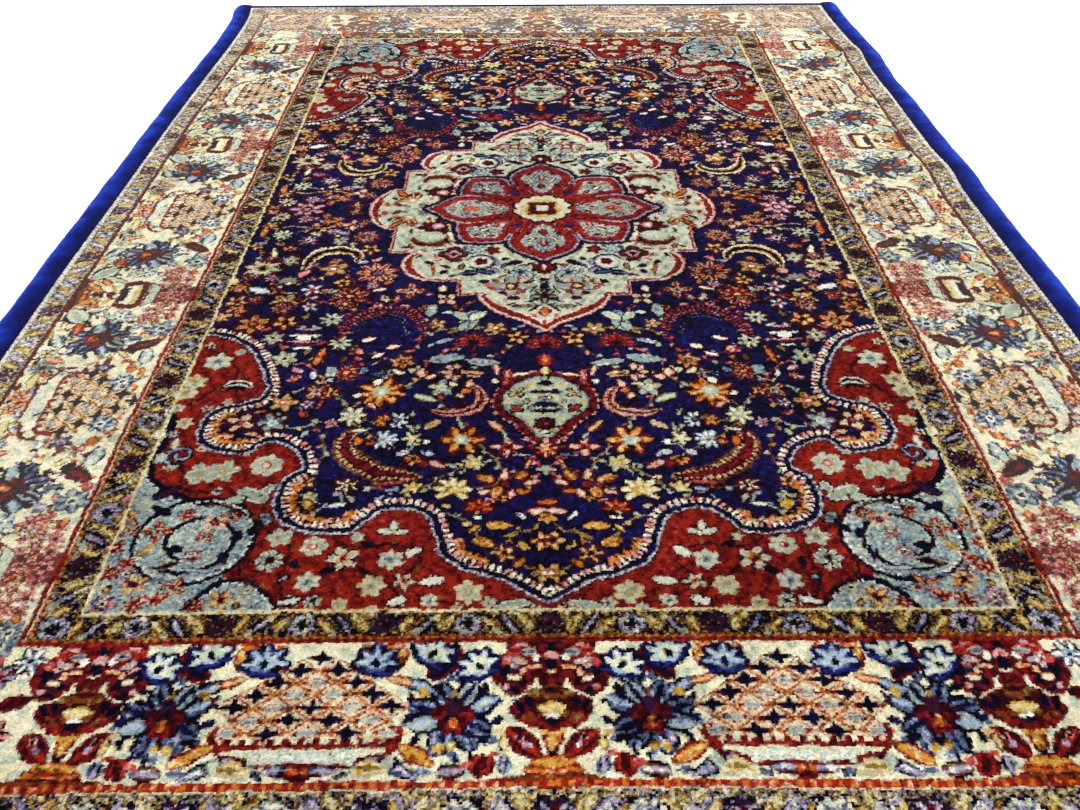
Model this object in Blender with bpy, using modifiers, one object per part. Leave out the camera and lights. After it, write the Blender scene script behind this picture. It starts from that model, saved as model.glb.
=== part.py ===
"""A hand-knotted Persian rug with a plush blue edging along each side, lying flat.

Metres, +Z up. The origin is on the floor under the middle of the rug. +Y runs along its length
and +X across it, to the right. Everything rests on the floor at Z = 0.
"""

from math import cos, exp, pi, sin, sqrt
from typing import NamedTuple

import bmesh
import bpy

# Driving dimensions
RUG_WIDTH = 1.200  # over both edgings
RUG_LENGTH = 1.800  # over the overcast rolls that close the two ends
PILE_TOP = 0.0090  # cotton foundation and clipped pile together
END_ROLL_WIDTH = 0.0080
END_ROLL_TOP = 0.0097  # it shows as a thin line over the last knots
PILE_END_RUN = 0.0025  # the cut pile leans on the roll by this much
EDGING_WIDTH = 0.0350
EDGING_CREST = 0.0115  # the plush stands a little above the pile
EDGING_CREST_AT = 0.60  # of its width, counted from the seam
EDGING_SEAM_TOP = 0.0085
EDGING_RIM_TOP = 0.0030
EDGING_OVERRUN = 0.0060  # each edging runs this far past the end rolls
EDGING_CORNER = 0.0140  # plan radius of its four outer corners
SEAM_GAP = 0.0003
MOST_SWELL = 0.0040  # how far either side may bulge past half of the rug's width
RIM_ROUND = 0.0022

# How finely the pieces are divided. Body and edgings share their rows, so their seams match
BODY_COLUMNS = 14
EDGING_COLUMNS = 9
ROWS = 60
CORNER_ROWS = 3

PILE_COLOUR = (0.330, 0.165, 0.120, 1.0)
EDGING_COLOUR = (0.016, 0.030, 0.330, 1.0)


class Swell(NamedTuple):
    """A place where one side of the rug bulges, or draws in where out is negative."""

    at: float  # Y of its middle
    out: float  # how far the edge moves
    reach: float  # half of its length


class Lift(NamedTuple):
    """A low cushion-like rise of the pile where the cloth isn't quite flat."""

    x: float
    y: float
    height: float
    reach_x: float
    reach_y: float


SWELLS = {
    -1: (Swell(0.690, -0.0070, 0.210), Swell(0.910, 0.0085, 0.060), Swell(-0.150, 0.0020, 0.160)),
    1: (Swell(0.840, -0.0055, 0.130), Swell(0.610, 0.0040, 0.040), Swell(0.480, -0.0030, 0.050),
        Swell(0.114, 0.0045, 0.045), Swell(-0.240, 0.0025, 0.140)),
}
LIFTS = (
    Lift(0.520, 0.610, 0.0016, 0.10, 0.030),
    Lift(0.520, 0.480, 0.0014, 0.12, 0.026),
    Lift(0.540, 0.114, 0.0012, 0.09, 0.035),
    Lift(-0.530, 0.300, 0.0010, 0.08, 0.090),
    Lift(-0.250, -0.450, 0.0008, 0.22, 0.180),
    Lift(0.300, -0.150, 0.0008, 0.20, 0.220),
)


def side_edge(side, y):
    """Distance from the centre line to the rug's outer edge, on side -1 or 1."""
    moved = sum(swell.out * exp(-(((y - swell.at) / swell.reach) ** 2)) for swell in SWELLS[side])
    return RUG_WIDTH / 2 + min(moved, MOST_SWELL)


def unevenness(x, y):
    """How far the pile stands above its even level."""
    waves = 0.0003 * sin(2 * pi * (0.9 * x + y) / 0.46) + 0.0003 * sin(2 * pi * (x - 0.4 * y) / 0.31)
    lifts = sum(
        lift.height * exp(-(((x - lift.x) / lift.reach_x) ** 2) - ((y - lift.y) / lift.reach_y) ** 2)
        for lift in LIFTS
    )
    return waves + lifts


def shared_rows():
    """The Y of each row, from the near end to the far one."""
    pile_end = RUG_LENGTH / 2 - END_ROLL_WIDTH
    top = pile_end - PILE_END_RUN
    even = [top * (2 * row / ROWS - 1) for row in range(ROWS + 1)]
    return [-RUG_LENGTH / 2, -pile_end, *even, pile_end, RUG_LENGTH / 2]


def slab_from_grid(name, columns, rows, place):
    """A flat-bottomed slab. place(u, v) gives the top's point for u and v from 0 to 1."""
    shape = bmesh.new()
    bmesh.ops.create_grid(shape, x_segments=columns, y_segments=rows, size=0.5)
    for vertex in shape.verts:
        vertex.co = place(vertex.co.x + 0.5, vertex.co.y + 0.5)
    sides = bmesh.ops.extrude_face_region(shape, geom=shape.faces[:])
    top = [item for item in sides["geom"] if isinstance(item, bmesh.types.BMVert)]
    raised = set(top)
    under = [vertex for vertex in shape.verts if vertex not in raised]
    for vertex in under:
        vertex.co.z = 0.0
    lowest = set(under)
    base = [face for face in shape.faces if lowest.issuperset(face.verts)]
    bmesh.ops.dissolve_faces(shape, faces=base, use_verts=False)
    loose = [vertex for vertex in shape.verts if not vertex.link_faces]
    bmesh.ops.delete(shape, geom=loose, context="VERTS")
    bmesh.ops.recalc_face_normals(shape, faces=shape.faces[:])
    mesh = bpy.data.meshes.new(name)
    shape.to_mesh(mesh)
    shape.free()
    return bpy.data.objects.new(name, mesh)


def round_rim(piece, width):
    """Rounds the edge between the top and the sides."""
    weights = piece.data.attributes.new("bevel_weight_edge", "FLOAT", "EDGE")
    points = piece.data.vertices
    touching = {edge.key: [] for edge in piece.data.edges}
    for face in piece.data.polygons:
        for key in face.edge_keys:
            touching[key].append(face.normal.z)
    for edge in piece.data.edges:
        slopes = sorted(touching[edge.key])
        on_rim = min(points[i].co.z for i in edge.vertices) > 0 and slopes[0] < 0.02 < 0.2 < slopes[1]
        weights.data[edge.index].value = 1.0 if on_rim else 0.0
    bevel = piece.modifiers.new("Rounded rim", "BEVEL")
    bevel.limit_method = "WEIGHT"
    bevel.width = width
    bevel.segments = 2


def rug_body():
    """The knotted rug itself, with its ground rolled and overcast past the pile at each end."""
    rows = shared_rows()
    last_knots = rows[-3]

    def place(u, v):
        y = rows[round(v * (len(rows) - 1))]
        left, right = (side_edge(side, y) - EDGING_WIDTH - SEAM_GAP for side in (-1, 1))
        x = -left + u * (left + right)
        if abs(y) > last_knots + PILE_END_RUN / 2:
            return x, y, END_ROLL_TOP
        return x, y, PILE_TOP + unevenness(x, y)

    return slab_from_grid("rug_body", BODY_COLUMNS, len(rows) - 1, place)


def edging_height(u):
    """The plush's rounded section: u is 0 at the seam and 1 at the outer rim."""
    if u < EDGING_CREST_AT:
        rise = sin(pi / 2 * u / EDGING_CREST_AT)
        return EDGING_SEAM_TOP + (EDGING_CREST - EDGING_SEAM_TOP) * rise
    fall = cos(pi / 2 * (u - EDGING_CREST_AT) / (1 - EDGING_CREST_AT))
    return EDGING_RIM_TOP + (EDGING_CREST - EDGING_RIM_TOP) * fall**0.75


def side_edging(side, name):
    """The band of blue plush along one side, with rounded corners past the end rolls."""
    half = RUG_LENGTH / 2 + EDGING_OVERRUN
    past = [RUG_LENGTH / 2 + EDGING_OVERRUN * row / CORNER_ROWS for row in range(1, CORNER_ROWS + 1)]
    rows = [-y for y in past[::-1]] + shared_rows() + past

    def place(u, v):
        across = u if side > 0 else 1 - u
        y = rows[round(v * (len(rows) - 1))]
        into_corner = max(0.0, abs(y) - (half - EDGING_CORNER))
        cut = EDGING_CORNER - sqrt(max(0.0, EDGING_CORNER**2 - into_corner**2))
        width = EDGING_WIDTH - cut * 0.8
        seam = side_edge(side, y) - EDGING_WIDTH
        x = side * (seam + across * width)
        lumps = 0.0005 * sin(2 * pi * y / 0.173 + side) + 0.0003 * sin(2 * pi * y / 0.071)
        end_fall = 1 - 0.35 * (into_corner / EDGING_CORNER) ** 2
        z = (edging_height(across) + lumps * across + unevenness(x, y)) * end_fall
        return x, y, z

    return slab_from_grid(name, EDGING_COLUMNS, len(rows) - 1, place)


def finish(name, colour, roughness):
    """A plain cloth surface of the piece's main colour."""
    material = bpy.data.materials.new(name)
    material.use_nodes = True
    shader = material.node_tree.nodes["Principled BSDF"]
    shader.inputs["Base Color"].default_value = colour
    shader.inputs["Roughness"].default_value = roughness
    shader.inputs["Metallic"].default_value = 0.0
    return material


def clear_scene():
    for item in list(bpy.data.objects):
        bpy.data.objects.remove(item, do_unlink=True)


clear_scene()
rug = bpy.data.collections.new("persian_rug")
bpy.context.scene.collection.children.link(rug)

knotted_pile = finish("knotted_pile", PILE_COLOUR, 0.85)
blue_plush = finish("blue_plush", EDGING_COLOUR, 0.80)

body = rug_body()
edging_left = side_edging(-1, "side_edging_left")
edging_right = side_edging(1, "side_edging_right")

for piece, material in ((body, knotted_pile), (edging_left, blue_plush), (edging_right, blue_plush)):
    rug.objects.link(piece)
    piece.data.materials.append(material)
    round_rim(piece, RIM_ROUND)
    piece.data.shade_smooth()
    piece.data.set_sharp_from_angle(angle=0.7)
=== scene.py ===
import math

import bpy
import numpy as np
from mathutils import Matrix


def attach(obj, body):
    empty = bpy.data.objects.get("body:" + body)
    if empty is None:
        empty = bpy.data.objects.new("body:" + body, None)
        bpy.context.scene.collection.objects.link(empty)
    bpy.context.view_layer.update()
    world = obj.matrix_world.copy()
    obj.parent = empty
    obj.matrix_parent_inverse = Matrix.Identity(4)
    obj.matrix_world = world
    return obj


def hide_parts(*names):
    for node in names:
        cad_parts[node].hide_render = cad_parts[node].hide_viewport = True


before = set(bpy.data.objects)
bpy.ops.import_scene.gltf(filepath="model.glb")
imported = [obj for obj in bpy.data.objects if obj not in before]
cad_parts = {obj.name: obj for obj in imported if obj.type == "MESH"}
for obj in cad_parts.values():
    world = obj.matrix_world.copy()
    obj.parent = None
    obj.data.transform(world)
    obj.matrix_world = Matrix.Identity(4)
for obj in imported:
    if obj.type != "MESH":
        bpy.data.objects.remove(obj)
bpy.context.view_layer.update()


# ---------------------------------------------------------------- camera, light and floor
# The rug lies on a plain pale floor under a large soft light, and is seen from
# standing height over its near end, as a seller shows a rug on the floor.

VIEW_FROM = (-0.009, -1.2406, 0.6229)
VIEW_TURN = math.radians(0.229)
VIEW_DOWN = math.radians(37.005)
VIEW_ROLL = math.radians(-0.226)
VIEW_LENS = 34.79

forward = np.array(
    [
        math.sin(VIEW_TURN) * math.cos(VIEW_DOWN), math.cos(VIEW_TURN) * math.cos(VIEW_DOWN),
        -math.sin(VIEW_DOWN),
    ]
)
level = np.array([math.cos(VIEW_TURN), -math.sin(VIEW_TURN), 0.0])
upward = np.cross(level, forward)
rolled_level = level * math.cos(VIEW_ROLL) + upward * math.sin(VIEW_ROLL)
rolled_up = upward * math.cos(VIEW_ROLL) - level * math.sin(VIEW_ROLL)
bpy.ops.object.camera_add(location=VIEW_FROM)
camera = bpy.context.object
camera.data.lens = VIEW_LENS
camera.data.sensor_width = 36.0
camera.matrix_world = Matrix(
    [
        (*axis, place) for axis, place in zip(
            np.transpose([rolled_level, rolled_up, -forward]).tolist(), VIEW_FROM
        )
    ]
    + [(0, 0, 0, 1)]
)
bpy.context.scene.camera = camera
bpy.context.scene.view_settings.view_transform = "Standard"

world = bpy.data.worlds.new("soft_studio")
world.use_nodes = True
world.node_tree.nodes["Background"].inputs["Color"].default_value = (1.0, 0.99, 0.97, 1.0)
world.node_tree.nodes["Background"].inputs["Strength"].default_value = 0.62
bpy.context.scene.world = world

for place, turn, size, power in (
    ((0.2, -1.6, 2.6), (math.radians(32), 0, 0), 2.4, 33),
    ((0.15, 1.25, 1.75), (math.radians(-18), 0, 0), 1.8, 50),
):
    bpy.ops.object.light_add(type="AREA", location=place, rotation=turn)
    bpy.context.object.data.size = size
    bpy.context.object.data.energy = power

bpy.ops.mesh.primitive_plane_add(size=9)
floor = bpy.context.object
floor.name = "floor"
floor_paint = bpy.data.materials.new("pale_floor")
floor_paint.use_nodes = True
floor_paint.node_tree.nodes["Principled BSDF"].inputs["Base Color"].default_value = (0.96, 0.96, 0.955, 1.0)
floor_paint.node_tree.nodes["Principled BSDF"].inputs["Roughness"].default_value = 0.85
floor.data.materials.append(floor_paint)


# ---------------------------------------------------------------- pattern: the chart
# The pattern is knotted from a chart, one quarter of the rug in steps of half a knot, in millimetres
# from its middle. The weaver reads it four times, turned over for each quarter.


WOOLS = {
    "navy": "120c3c",
    "ink": "070514",
    "blue": "20257a",
    "steel": "51607c",
    "sky": "9db2ca",
    "teal": "8d9f9e",
    "mist": "c2cdb4",
    "cream": "e4ddb8",
    "ivory": "f1eedb",
    "straw": "dccb88",
    "gold": "c79b3e",
    "olive": "857238",
    "orange": "cb6a20",
    "peach": "e4b68c",
    "pink": "d8a096",
    "rose": "bd4640",
    "red": "9c2412",
    "crimson": "6c1116",
    "maroon": "36050b",
    "plum": "2b1430",
    "lilac": "a79cb8",
    "umber": "6d3413",
    "sage": "a3ae95",
    "sand": "c6a57c",
    "frost": "dcdfc6",
    "shell": "dcc3a6",
}
WOOL_NUMBERS = {name: number for number, name in enumerate(WOOLS)}

KNOT = 2.1
STEP = KNOT / 2
X, Y = np.meshgrid(STEP * (np.arange(542) + 0.5), STEP * (np.arange(860) + 0.5))
chart = np.full(X.shape, WOOL_NUMBERS["navy"], np.uint8)


def near(x, y, reach):
    """The rows and columns of the chart within reach of a place."""
    ends = [max(0, int(end / STEP) + 1) for end in (y - reach, y + reach, x - reach, x + reach)]
    return slice(max(0, ends[0] - 1), ends[1]), slice(max(0, ends[2] - 1), ends[3])


def tie(chosen, wool, area=np.s_[:, :]):
    """Knots a wool where it is chosen, in all of the chart or in an area of it."""
    chart[area][chosen] = WOOL_NUMBERS[wool]


def strips(wools, shares):
    """A motif's wools, written as one string from the outline inwards, each with its share of the size."""
    return zip(wools.split(), shares)


def beyond(x, y, far, heading):
    """The place that lies so far from another one, in a direction in degrees."""
    return x + far * math.cos(math.radians(heading)), y + far * math.sin(math.radians(heading))


def turned(x, y, reach, turn):
    """The area round a place, and how far its cells lie ahead and to the side of it, looking along turn."""
    area = near(x, y, reach)
    dx, dy = X[area] - x, Y[area] - y
    c, s = math.cos(math.radians(turn)), math.sin(math.radians(turn))
    return area, dx * c + dy * s, dy * c - dx * s


def flower(x, y, size, petals, *rings, turn=0, notch=0.3, flat=1.0):
    """A flower seen from above. The rings go inwards, each a wool and its share of the radius."""
    area, ahead, side = turned(x, y, size * max(1, flat) + STEP, turn)
    angle = np.arctan2(side / flat, ahead)
    edge = size * (1 - notch * (1 - np.abs(np.cos(petals * angle / 2)) ** 0.7))
    share = np.hypot(ahead, side / flat) / edge
    for wool, reach in rings:
        tie(share < reach, wool, area)


def leaf(x, y, length, width, turn, *fills, bend=0.0):
    """A leaf round its middle, pointing along turn. The fills go inwards, each a wool and its share of the
    width."""
    area, ahead, side = turned(x, y, length / 2 + abs(bend) + STEP, turn)
    full = np.clip(1 - (2 * ahead / length) ** 2, 1e-6, None)
    off = np.abs(side - bend * full) / (width / 2 * full**0.7)
    for wool, share in fills:
        tie((np.abs(ahead) < length / 2) & (off < share), wool, area)


def curl(x, y, radius, start, sweep, width, *fills, taper=0.6):
    """A leaf curled round a place, from one angle over a sweep, thick in the middle."""
    area = near(x, y, radius + width)
    dx, dy = X[area] - x, Y[area] - y
    part = ((np.degrees(np.arctan2(dy, dx)) - start) * np.sign(sweep)) % 360 / abs(sweep)
    half = width / 2 * np.sin(np.pi * np.clip(part, 0, 1)) ** taper + 1e-6
    off = np.abs(np.hypot(dx, dy) - radius) / half
    for wool, share in fills:
        tie((part < 1) & (off < share), wool, area)


def trail(*stretches):
    """Points half a millimetre apart on a smooth line through each stretch's places."""
    line = []
    for places in stretches:
        places = np.array(places, float)
        padded = np.vstack([2 * places[0] - places[1], places, 2 * places[-1] - places[-2]])
        for a, b, c, d in zip(padded, padded[1:], padded[2:], padded[3:]):
            t = np.arange(0, 1, 0.5 / max(1.0, np.hypot(*(c - b))))[:, None]
            straight = 2 * b + (c - a) * t
            curved = (2 * a - 5 * b + 4 * c - d) * t**2 + (3 * b - a - 3 * c + d) * t**3
            line.append((straight + curved) / 2)
        line.append(places[-1:])
    return np.concatenate(line)


def follow(line, reach):
    """How far each cell is from a line, and how far along it, as two whole charts."""
    away, at = np.full(X.shape, 999.0), np.zeros(X.shape)
    run = np.concatenate([[0], np.cumsum(np.hypot(*np.diff(line, axis=0).T))])
    for start in range(0, len(line), 24):
        some = line[start : start + 25]
        low, high = some.min(axis=0), some.max(axis=0)
        middle, half = (low + high) / 2, max(high - low) / 2
        area = near(*middle, half + reach)
        if X[area].size == 0:
            continue
        far = np.hypot(X[area][..., None] - some[:, 0], Y[area][..., None] - some[:, 1])
        nearest = far.argmin(axis=-1)
        far = far.min(axis=-1)
        closer = far < away[area]
        away[area][closer] = far[closer]
        at[area][closer] = run[start + nearest[closer]]
    return away, at


def draw(line, *stripes):
    """Knots a line. The stripes go inwards, each a wool and its half width."""
    away, _ = follow(line, stripes[0][1] + STEP)
    for wool, half in stripes:
        tie(away < half, wool)


def within(line):
    """Whether each cell is inside a closed line."""
    following = np.roll(line, -1, axis=0)
    found = np.zeros(X.shape, bool)
    for row, y in enumerate(Y[:, 0]):
        crosses = (line[:, 1] <= y) != (following[:, 1] <= y)
        if crosses.any():
            (x0, y0), (x1, y1) = line[crosses].T, following[crosses].T
            at = np.sort(x0 + (y - y0) * (x1 - x0) / (y1 - y0))
            found[row] = np.searchsorted(at, X[row]) % 2 == 1
    return found


def vine(places, wool, leaflets="", every=13, leaf_length=7, half=1.1):
    """A thin stem through some places, with small leaves on both sides of it in turn."""
    line = trail(places)
    draw(line, (wool, half))
    leaflets = leaflets.split()
    if leaflets:
        pace = int(every / 0.5)
        for number, spot in enumerate(range(pace // 2, len(line) - 4, pace)):
            dx, dy = line[spot + 3] - line[spot]
            heading = math.degrees(math.atan2(dy, dx)) + (50 if number % 2 else -50)
            middle = beyond(*line[spot], 0.5 * leaf_length, heading)
            leaf(*middle, leaf_length, 4.2, heading, (leaflets[number % len(leaflets)], 1))


# ---------------------------------------------------------------- pattern: main border
# The ivory border is knotted in wool like the rest. Latticed fans stand on its outer line between dark
# rosettes and red palmettes, and half flowers, buds and vines fill the ground between them.

LINE_X, LINE_Y = 399.0, 720.3            # inner red line, side and end
OUTER_X, OUTER_Y = 534.0, 842.0          # outer maroon line
FIELD_X, FIELD_Y = 362.8, 691.4          # cream line round the field

tie((X > FIELD_X) | (Y > FIELD_Y), "cream")
patches = np.sin(X * 0.21 + 2 * np.sin(Y * 0.05)) * np.sin(Y * 0.23 + 2 * np.sin(X * 0.04))
tie(((X > FIELD_X) | (Y > FIELD_Y)) & (patches > 0.45), "mist")


def motif(x, y, turn, rows, sides=(1, -1)):
    """A motif built of small leaves and blots, the same on both sides of its middle line, looking along turn.

    Each row is how far ahead and to the side of the motif's foot a leaf lies, its length and width, how far
    it leans outwards from the way ahead, in degrees, and its wools from the outline inwards.
    """
    cos, sin = math.cos(math.radians(turn)), math.sin(math.radians(turn))
    for ahead, out, length, width, lean, wools in rows:
        for way in sides if out else (1,):
            leaf(
                x + ahead * cos - way * out * sin, y + ahead * sin + way * out * cos, length, width,
                turn + way * lean,
                *strips(wools, (1, 0.62, 0.34)),
            )


def leaves(rows, shares=(1, 0.66, 0.34), outline=0):
    """Single leaves and slips. Each row is |x|, |y|, length, width, which way it points and its wools, and
    an outline of ink goes round it where one is wanted."""
    for x, y, length, width, turn, wools in rows:
        if outline:
            leaf(x, y, length + outline, width + outline, turn, ("ink", 1))
        leaf(x, y, length, width, turn, *strips(wools, shares))


def spray(x, y, size, turn, count, span, width, wools, heart=""):
    """Petals set round a place, over a span of angles about turn, and the heart that they stand on."""
    for number in range(count):
        angle = turn + span * ((number + 0.5) / count - 0.5)
        petal = beyond(x, y, 0.56 * size, angle)
        leaf(*petal, 0.9 * size, width * size, angle, *strips(wools, (1, 0.72, 0.36)))
    if heart:
        flower(x, y, 0.36 * size, 6, *strips(heart, (1, 0.55)), notch=0.15)


def lattice(x, y, turn, deep, row, step, line, rows=8):
    """The latticed fan. It stands on its foot at a place, its tip deep ahead, its rows of stars row apart and
    the stars of a row two steps apart."""
    cos, sin = math.cos(math.radians(turn)), math.sin(math.radians(turn))
    area, ahead, side = turned(x, y, 100, turn)
    down, over = (deep - ahead) / row, side / step
    out = np.abs(over)
    one, other = (over + down) / 2, (over - down) / 2
    place, level = np.round(one) + np.round(other), np.round(one) - np.round(other)
    body = (level >= 1) & (level <= rows - 2) & (np.abs(place) <= np.minimum(level, 4))
    off = np.abs(over - place) + np.abs(down - level)
    tie(body, "shell", area)
    tie(
        body & (off < 0.8) & (np.abs(down - level) > 0.3) & (np.sin(side * 0.8 + 2 * level) > 0.25),
        "peach", area,
    )
    tie(body & (off > 0.6) & (np.sin(side * 1.1 + 3 * down) > 0.75), "cream", area)
    tie(body & (off > 0.88), "umber", area)
    tie(body & (off > 0.84) & (np.abs(over - place) > 0.5), line, area)
    foot = 3.0 * step
    full = min(4.6, rows / 2 + 0.9)
    corner = np.hypot(np.clip(out - full + 1.2, 0, None) * step, np.clip(down - rows + 2.0, 0, None) * row)
    edge = np.maximum((out - full) * step, np.maximum((down - rows + 0.95) * row, corner - 1.2 * step))
    rim = (down > rows - 2.6) & (down < rows - 0.2)
    tie(rim & (edge > -7) & (edge < -2.6) & (np.sin(side * 0.62) > 0.1), "crimson", area)
    tie(rim & (edge > -3.0) & (edge < 0.8), "crimson", area)
    tie(rim & (edge > -2.4) & (edge < 0.4) & (np.sin(side * 0.5) > -0.2), "red", area)
    for level in range(rows - 1):
        for place in range(-level, level + 1, 2):
            if abs(place) > 4:
                continue
            at_x = x + (deep - level * row) * cos - place * step * sin
            at_y = y + (deep - level * row) * sin + place * step * cos
            if (level - abs(place)) // 2 % 2 == 0:
                leaf(at_x, at_y, 1.7 * step, 0.52 * row, turn + 90, ("crimson", 1))
                leaf(at_x, at_y, 1.45 * row, 0.42 * step, turn, ("maroon", 1))
                leaf(at_x, at_y, 1.2 * step, 0.6 * row, turn + 90, ("ink", 1))
                leaf(at_x, at_y, 1.1 * row, 0.46 * step, turn, ("ink", 1))
            else:
                leaf(at_x, at_y, 1.6 * step, 0.5 * row, turn + 90, ("crimson", 1))
                leaf(
                    at_x, at_y, 0.95 * step, 0.74 * row, turn + 90, ("crimson", 1), ("shell", 0.8),
                    ("teal", 0.5),
                )
    tie((ahead > -6.6) & (ahead < 3.2) & (np.abs(side) < foot - 3), "mist", area)
    strip = (ahead > -5) & (ahead < 1.6) & (np.abs(side) < foot - 5)
    tie(strip & (np.sin(side * 0.9 + 2 * ahead) > -0.2), "ivory", area)
    tie(strip & (np.sin(side * 0.5 - 2 * ahead) > 0.86), "sky", area)
    motif(x, y, turn, [
        (-8.6, 0, 2 * foot - 4, 5, 90, "crimson"), (-5, foot - 4, 9, 4.4, 10, "crimson"),
        (-1.6, foot + 5, 18, 4.6, 78, "crimson"),
        (4, foot + 17, 16, 4.6, 50, "crimson"), (13, foot + 22, 14, 4.6, 8, "crimson"),
        (-12, 14, 22, 10, 90, "crimson steel lilac"),
        (-14, 0, 15, 14, 90, "crimson red"), (-19, 0, 12, 11, 0, "crimson maroon"),
        (-12, 4, 8, 4, 60, "orange"), (-16, 9, 12, 4, 60, "maroon"),
    ])


def great_rosette(x, y, size, turn):
    """The eight-petalled dark rosette of the main border, its petals a little uneven."""
    for number in range(8):
        angle = turn + 22 + number * 45 + (0, 6, -5, 4, 7, -6, 3, -4)[number]
        petal = beyond(x, y, size * (0.62, 0.68, 0.6, 0.7, 0.66, 0.6, 0.7, 0.64)[number], angle)
        vein = ("ink", "navy", "sky", "navy")[number % 4]
        leaf(
            *petal, 0.86 * size, 0.64 * size, angle,
            ("ink", 1), ("teal" if number % 5 == 2 else "steel", 0.6), (vein, 0.26),
        )
        slip = ("ink", "navy", "ink", "steel")[number % 4]
        leaf(*beyond(x, y, 1.02 * size, angle + 20.6265), 0.34 * size, 0.22 * size, angle + 60, (slip, 1))
        tip = ("navy", "ink", "steel")[number % 3]
        leaf(*beyond(x, y, 1.12 * size, angle - 5.7296), 0.2 * size, 0.14 * size, angle - 40, (tip, 1))
    flower(x, y, size * 0.5, 5, ("ink", 1), ("maroon", 0.92), turn=turn, notch=0.34)
    motif(x, y, turn + 180, [
        (-0.3 * size, 0, 0.5 * size, 0.4 * size, 0, "maroon plum"),
        (0.02 * size, 0.3 * size, 0.44 * size, 0.26 * size, 70, "maroon crimson"),
        (0.2 * size, 0.1 * size, 0.4 * size, 0.22 * size, 20, "crimson red"),
        (0.08 * size, 0.12 * size, 0.3 * size, 0.12 * size, 10, "ink"),
        (0.18 * size, 0, 0.36 * size, 0.26 * size, 0, "umber orange"),
        (0.44 * size, 0.1 * size, 0.24 * size, 0.14 * size, 60, "crimson"),
        (-0.62 * size, 0, 0.2 * size, 0.12 * size, 0, "gold olive"),
        (0.8 * size, 0, 0.26 * size, 0.22 * size, 0, "olive gold"),
        (0.74 * size, 0.34 * size, 0.4 * size, 0.24 * size, 20, "navy steel"),
        (-0.1 * size, 0.5 * size, 0.2 * size, 0.1 * size, 30, "plum"),
    ])


# rows of the fan palmette of the end borders, from the outer line up to its head at the inner line
FAN = [
    (108, 0, 34, 70, 0, "cream crimson"), (112, 22, 20, 34, 0, "crimson"), (92, 28, 42, 34, -6, "crimson"),
    (100, 0, 40, 34, 0, "crimson maroon"),
    (2, 0, 84, 12, 90, "crimson umber"), (10, 0, 44, 15, 90, "umber crimson orange"),
    (16, 0, 32, 13, 90, "red orange gold"),
    (27, 0, 15, 10, 0, "maroon ink"), (38, 0, 26, 15, 0, "crimson orange gold"),
    (40, 0, 20, 7, 90, "orange gold"),
    (31, 20, 34, 19, 45, "crimson maroon red"), (36, 22, 7, 5, 45, "pink ink"), (30, 18, 6, 4, 45, "lilac"),
    (59, 0, 62, 36, 90, "crimson maroon"), (62, 24, 15, 10, 30, "crimson ink"),
    (52, 17, 12, 9, 60, "red umber"),
    (66, 17, 13, 7, 0, "ink"), (56, 8, 9, 7, 0, "umber"), (60, 0, 22, 10, 90, "gold straw"),
    (53, 0, 10, 7, 90, "lilac ivory"),
    (49, 0, 11, 6, 90, "ink"), (46, 13, 11, 7, 120, "red crimson"), (72, 0, 38, 14, 90, "maroon umber"),
    (84, 0, 23, 20, 0, "crimson maroon crimson"), (76, 0, 18, 8, 90, "umber maroon"),
    (93, 0, 8, 9, 0, "peach cream"),
    (88, 27, 38, 30, -8, "crimson maroon plum"), (76, 29, 16, 9, 70, "crimson ink"),
    (94, 35, 15, 9, 5, "ink"), (83, 20, 9, 7, 40, "ink"),
    (86, 27, 10, 7, 80, "orange cream"), (92, 21, 7, 5, 0, "peach"), (78, 33, 6, 5, 0, "pink"),
    (98, 27, 9, 5, 90, "lilac pink"),
    (114, 0, 17, 19, 0, "crimson maroon ink"), (106, 0, 11, 17, 0, "red pink"),
    (98, 0, 13, 15, 0, "crimson ink"),
    (105, 11, 8, 11, 0, "ink ivory"), (111, 28, 12, 16, 90, "crimson rose red"),
    (110, 16, 12, 11, 90, "rose sage steel"),
    (102, 24, 13, 10, 70, "crimson sand lilac"), (102, 34, 7, 12, 90, "crimson rose"),
    (96, 13, 12, 6, 90, "crimson peach"),
    (105, 39, 8, 6, 90, "red"), (117, 22, 9, 5, 90, "crimson pink"),
]


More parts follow.
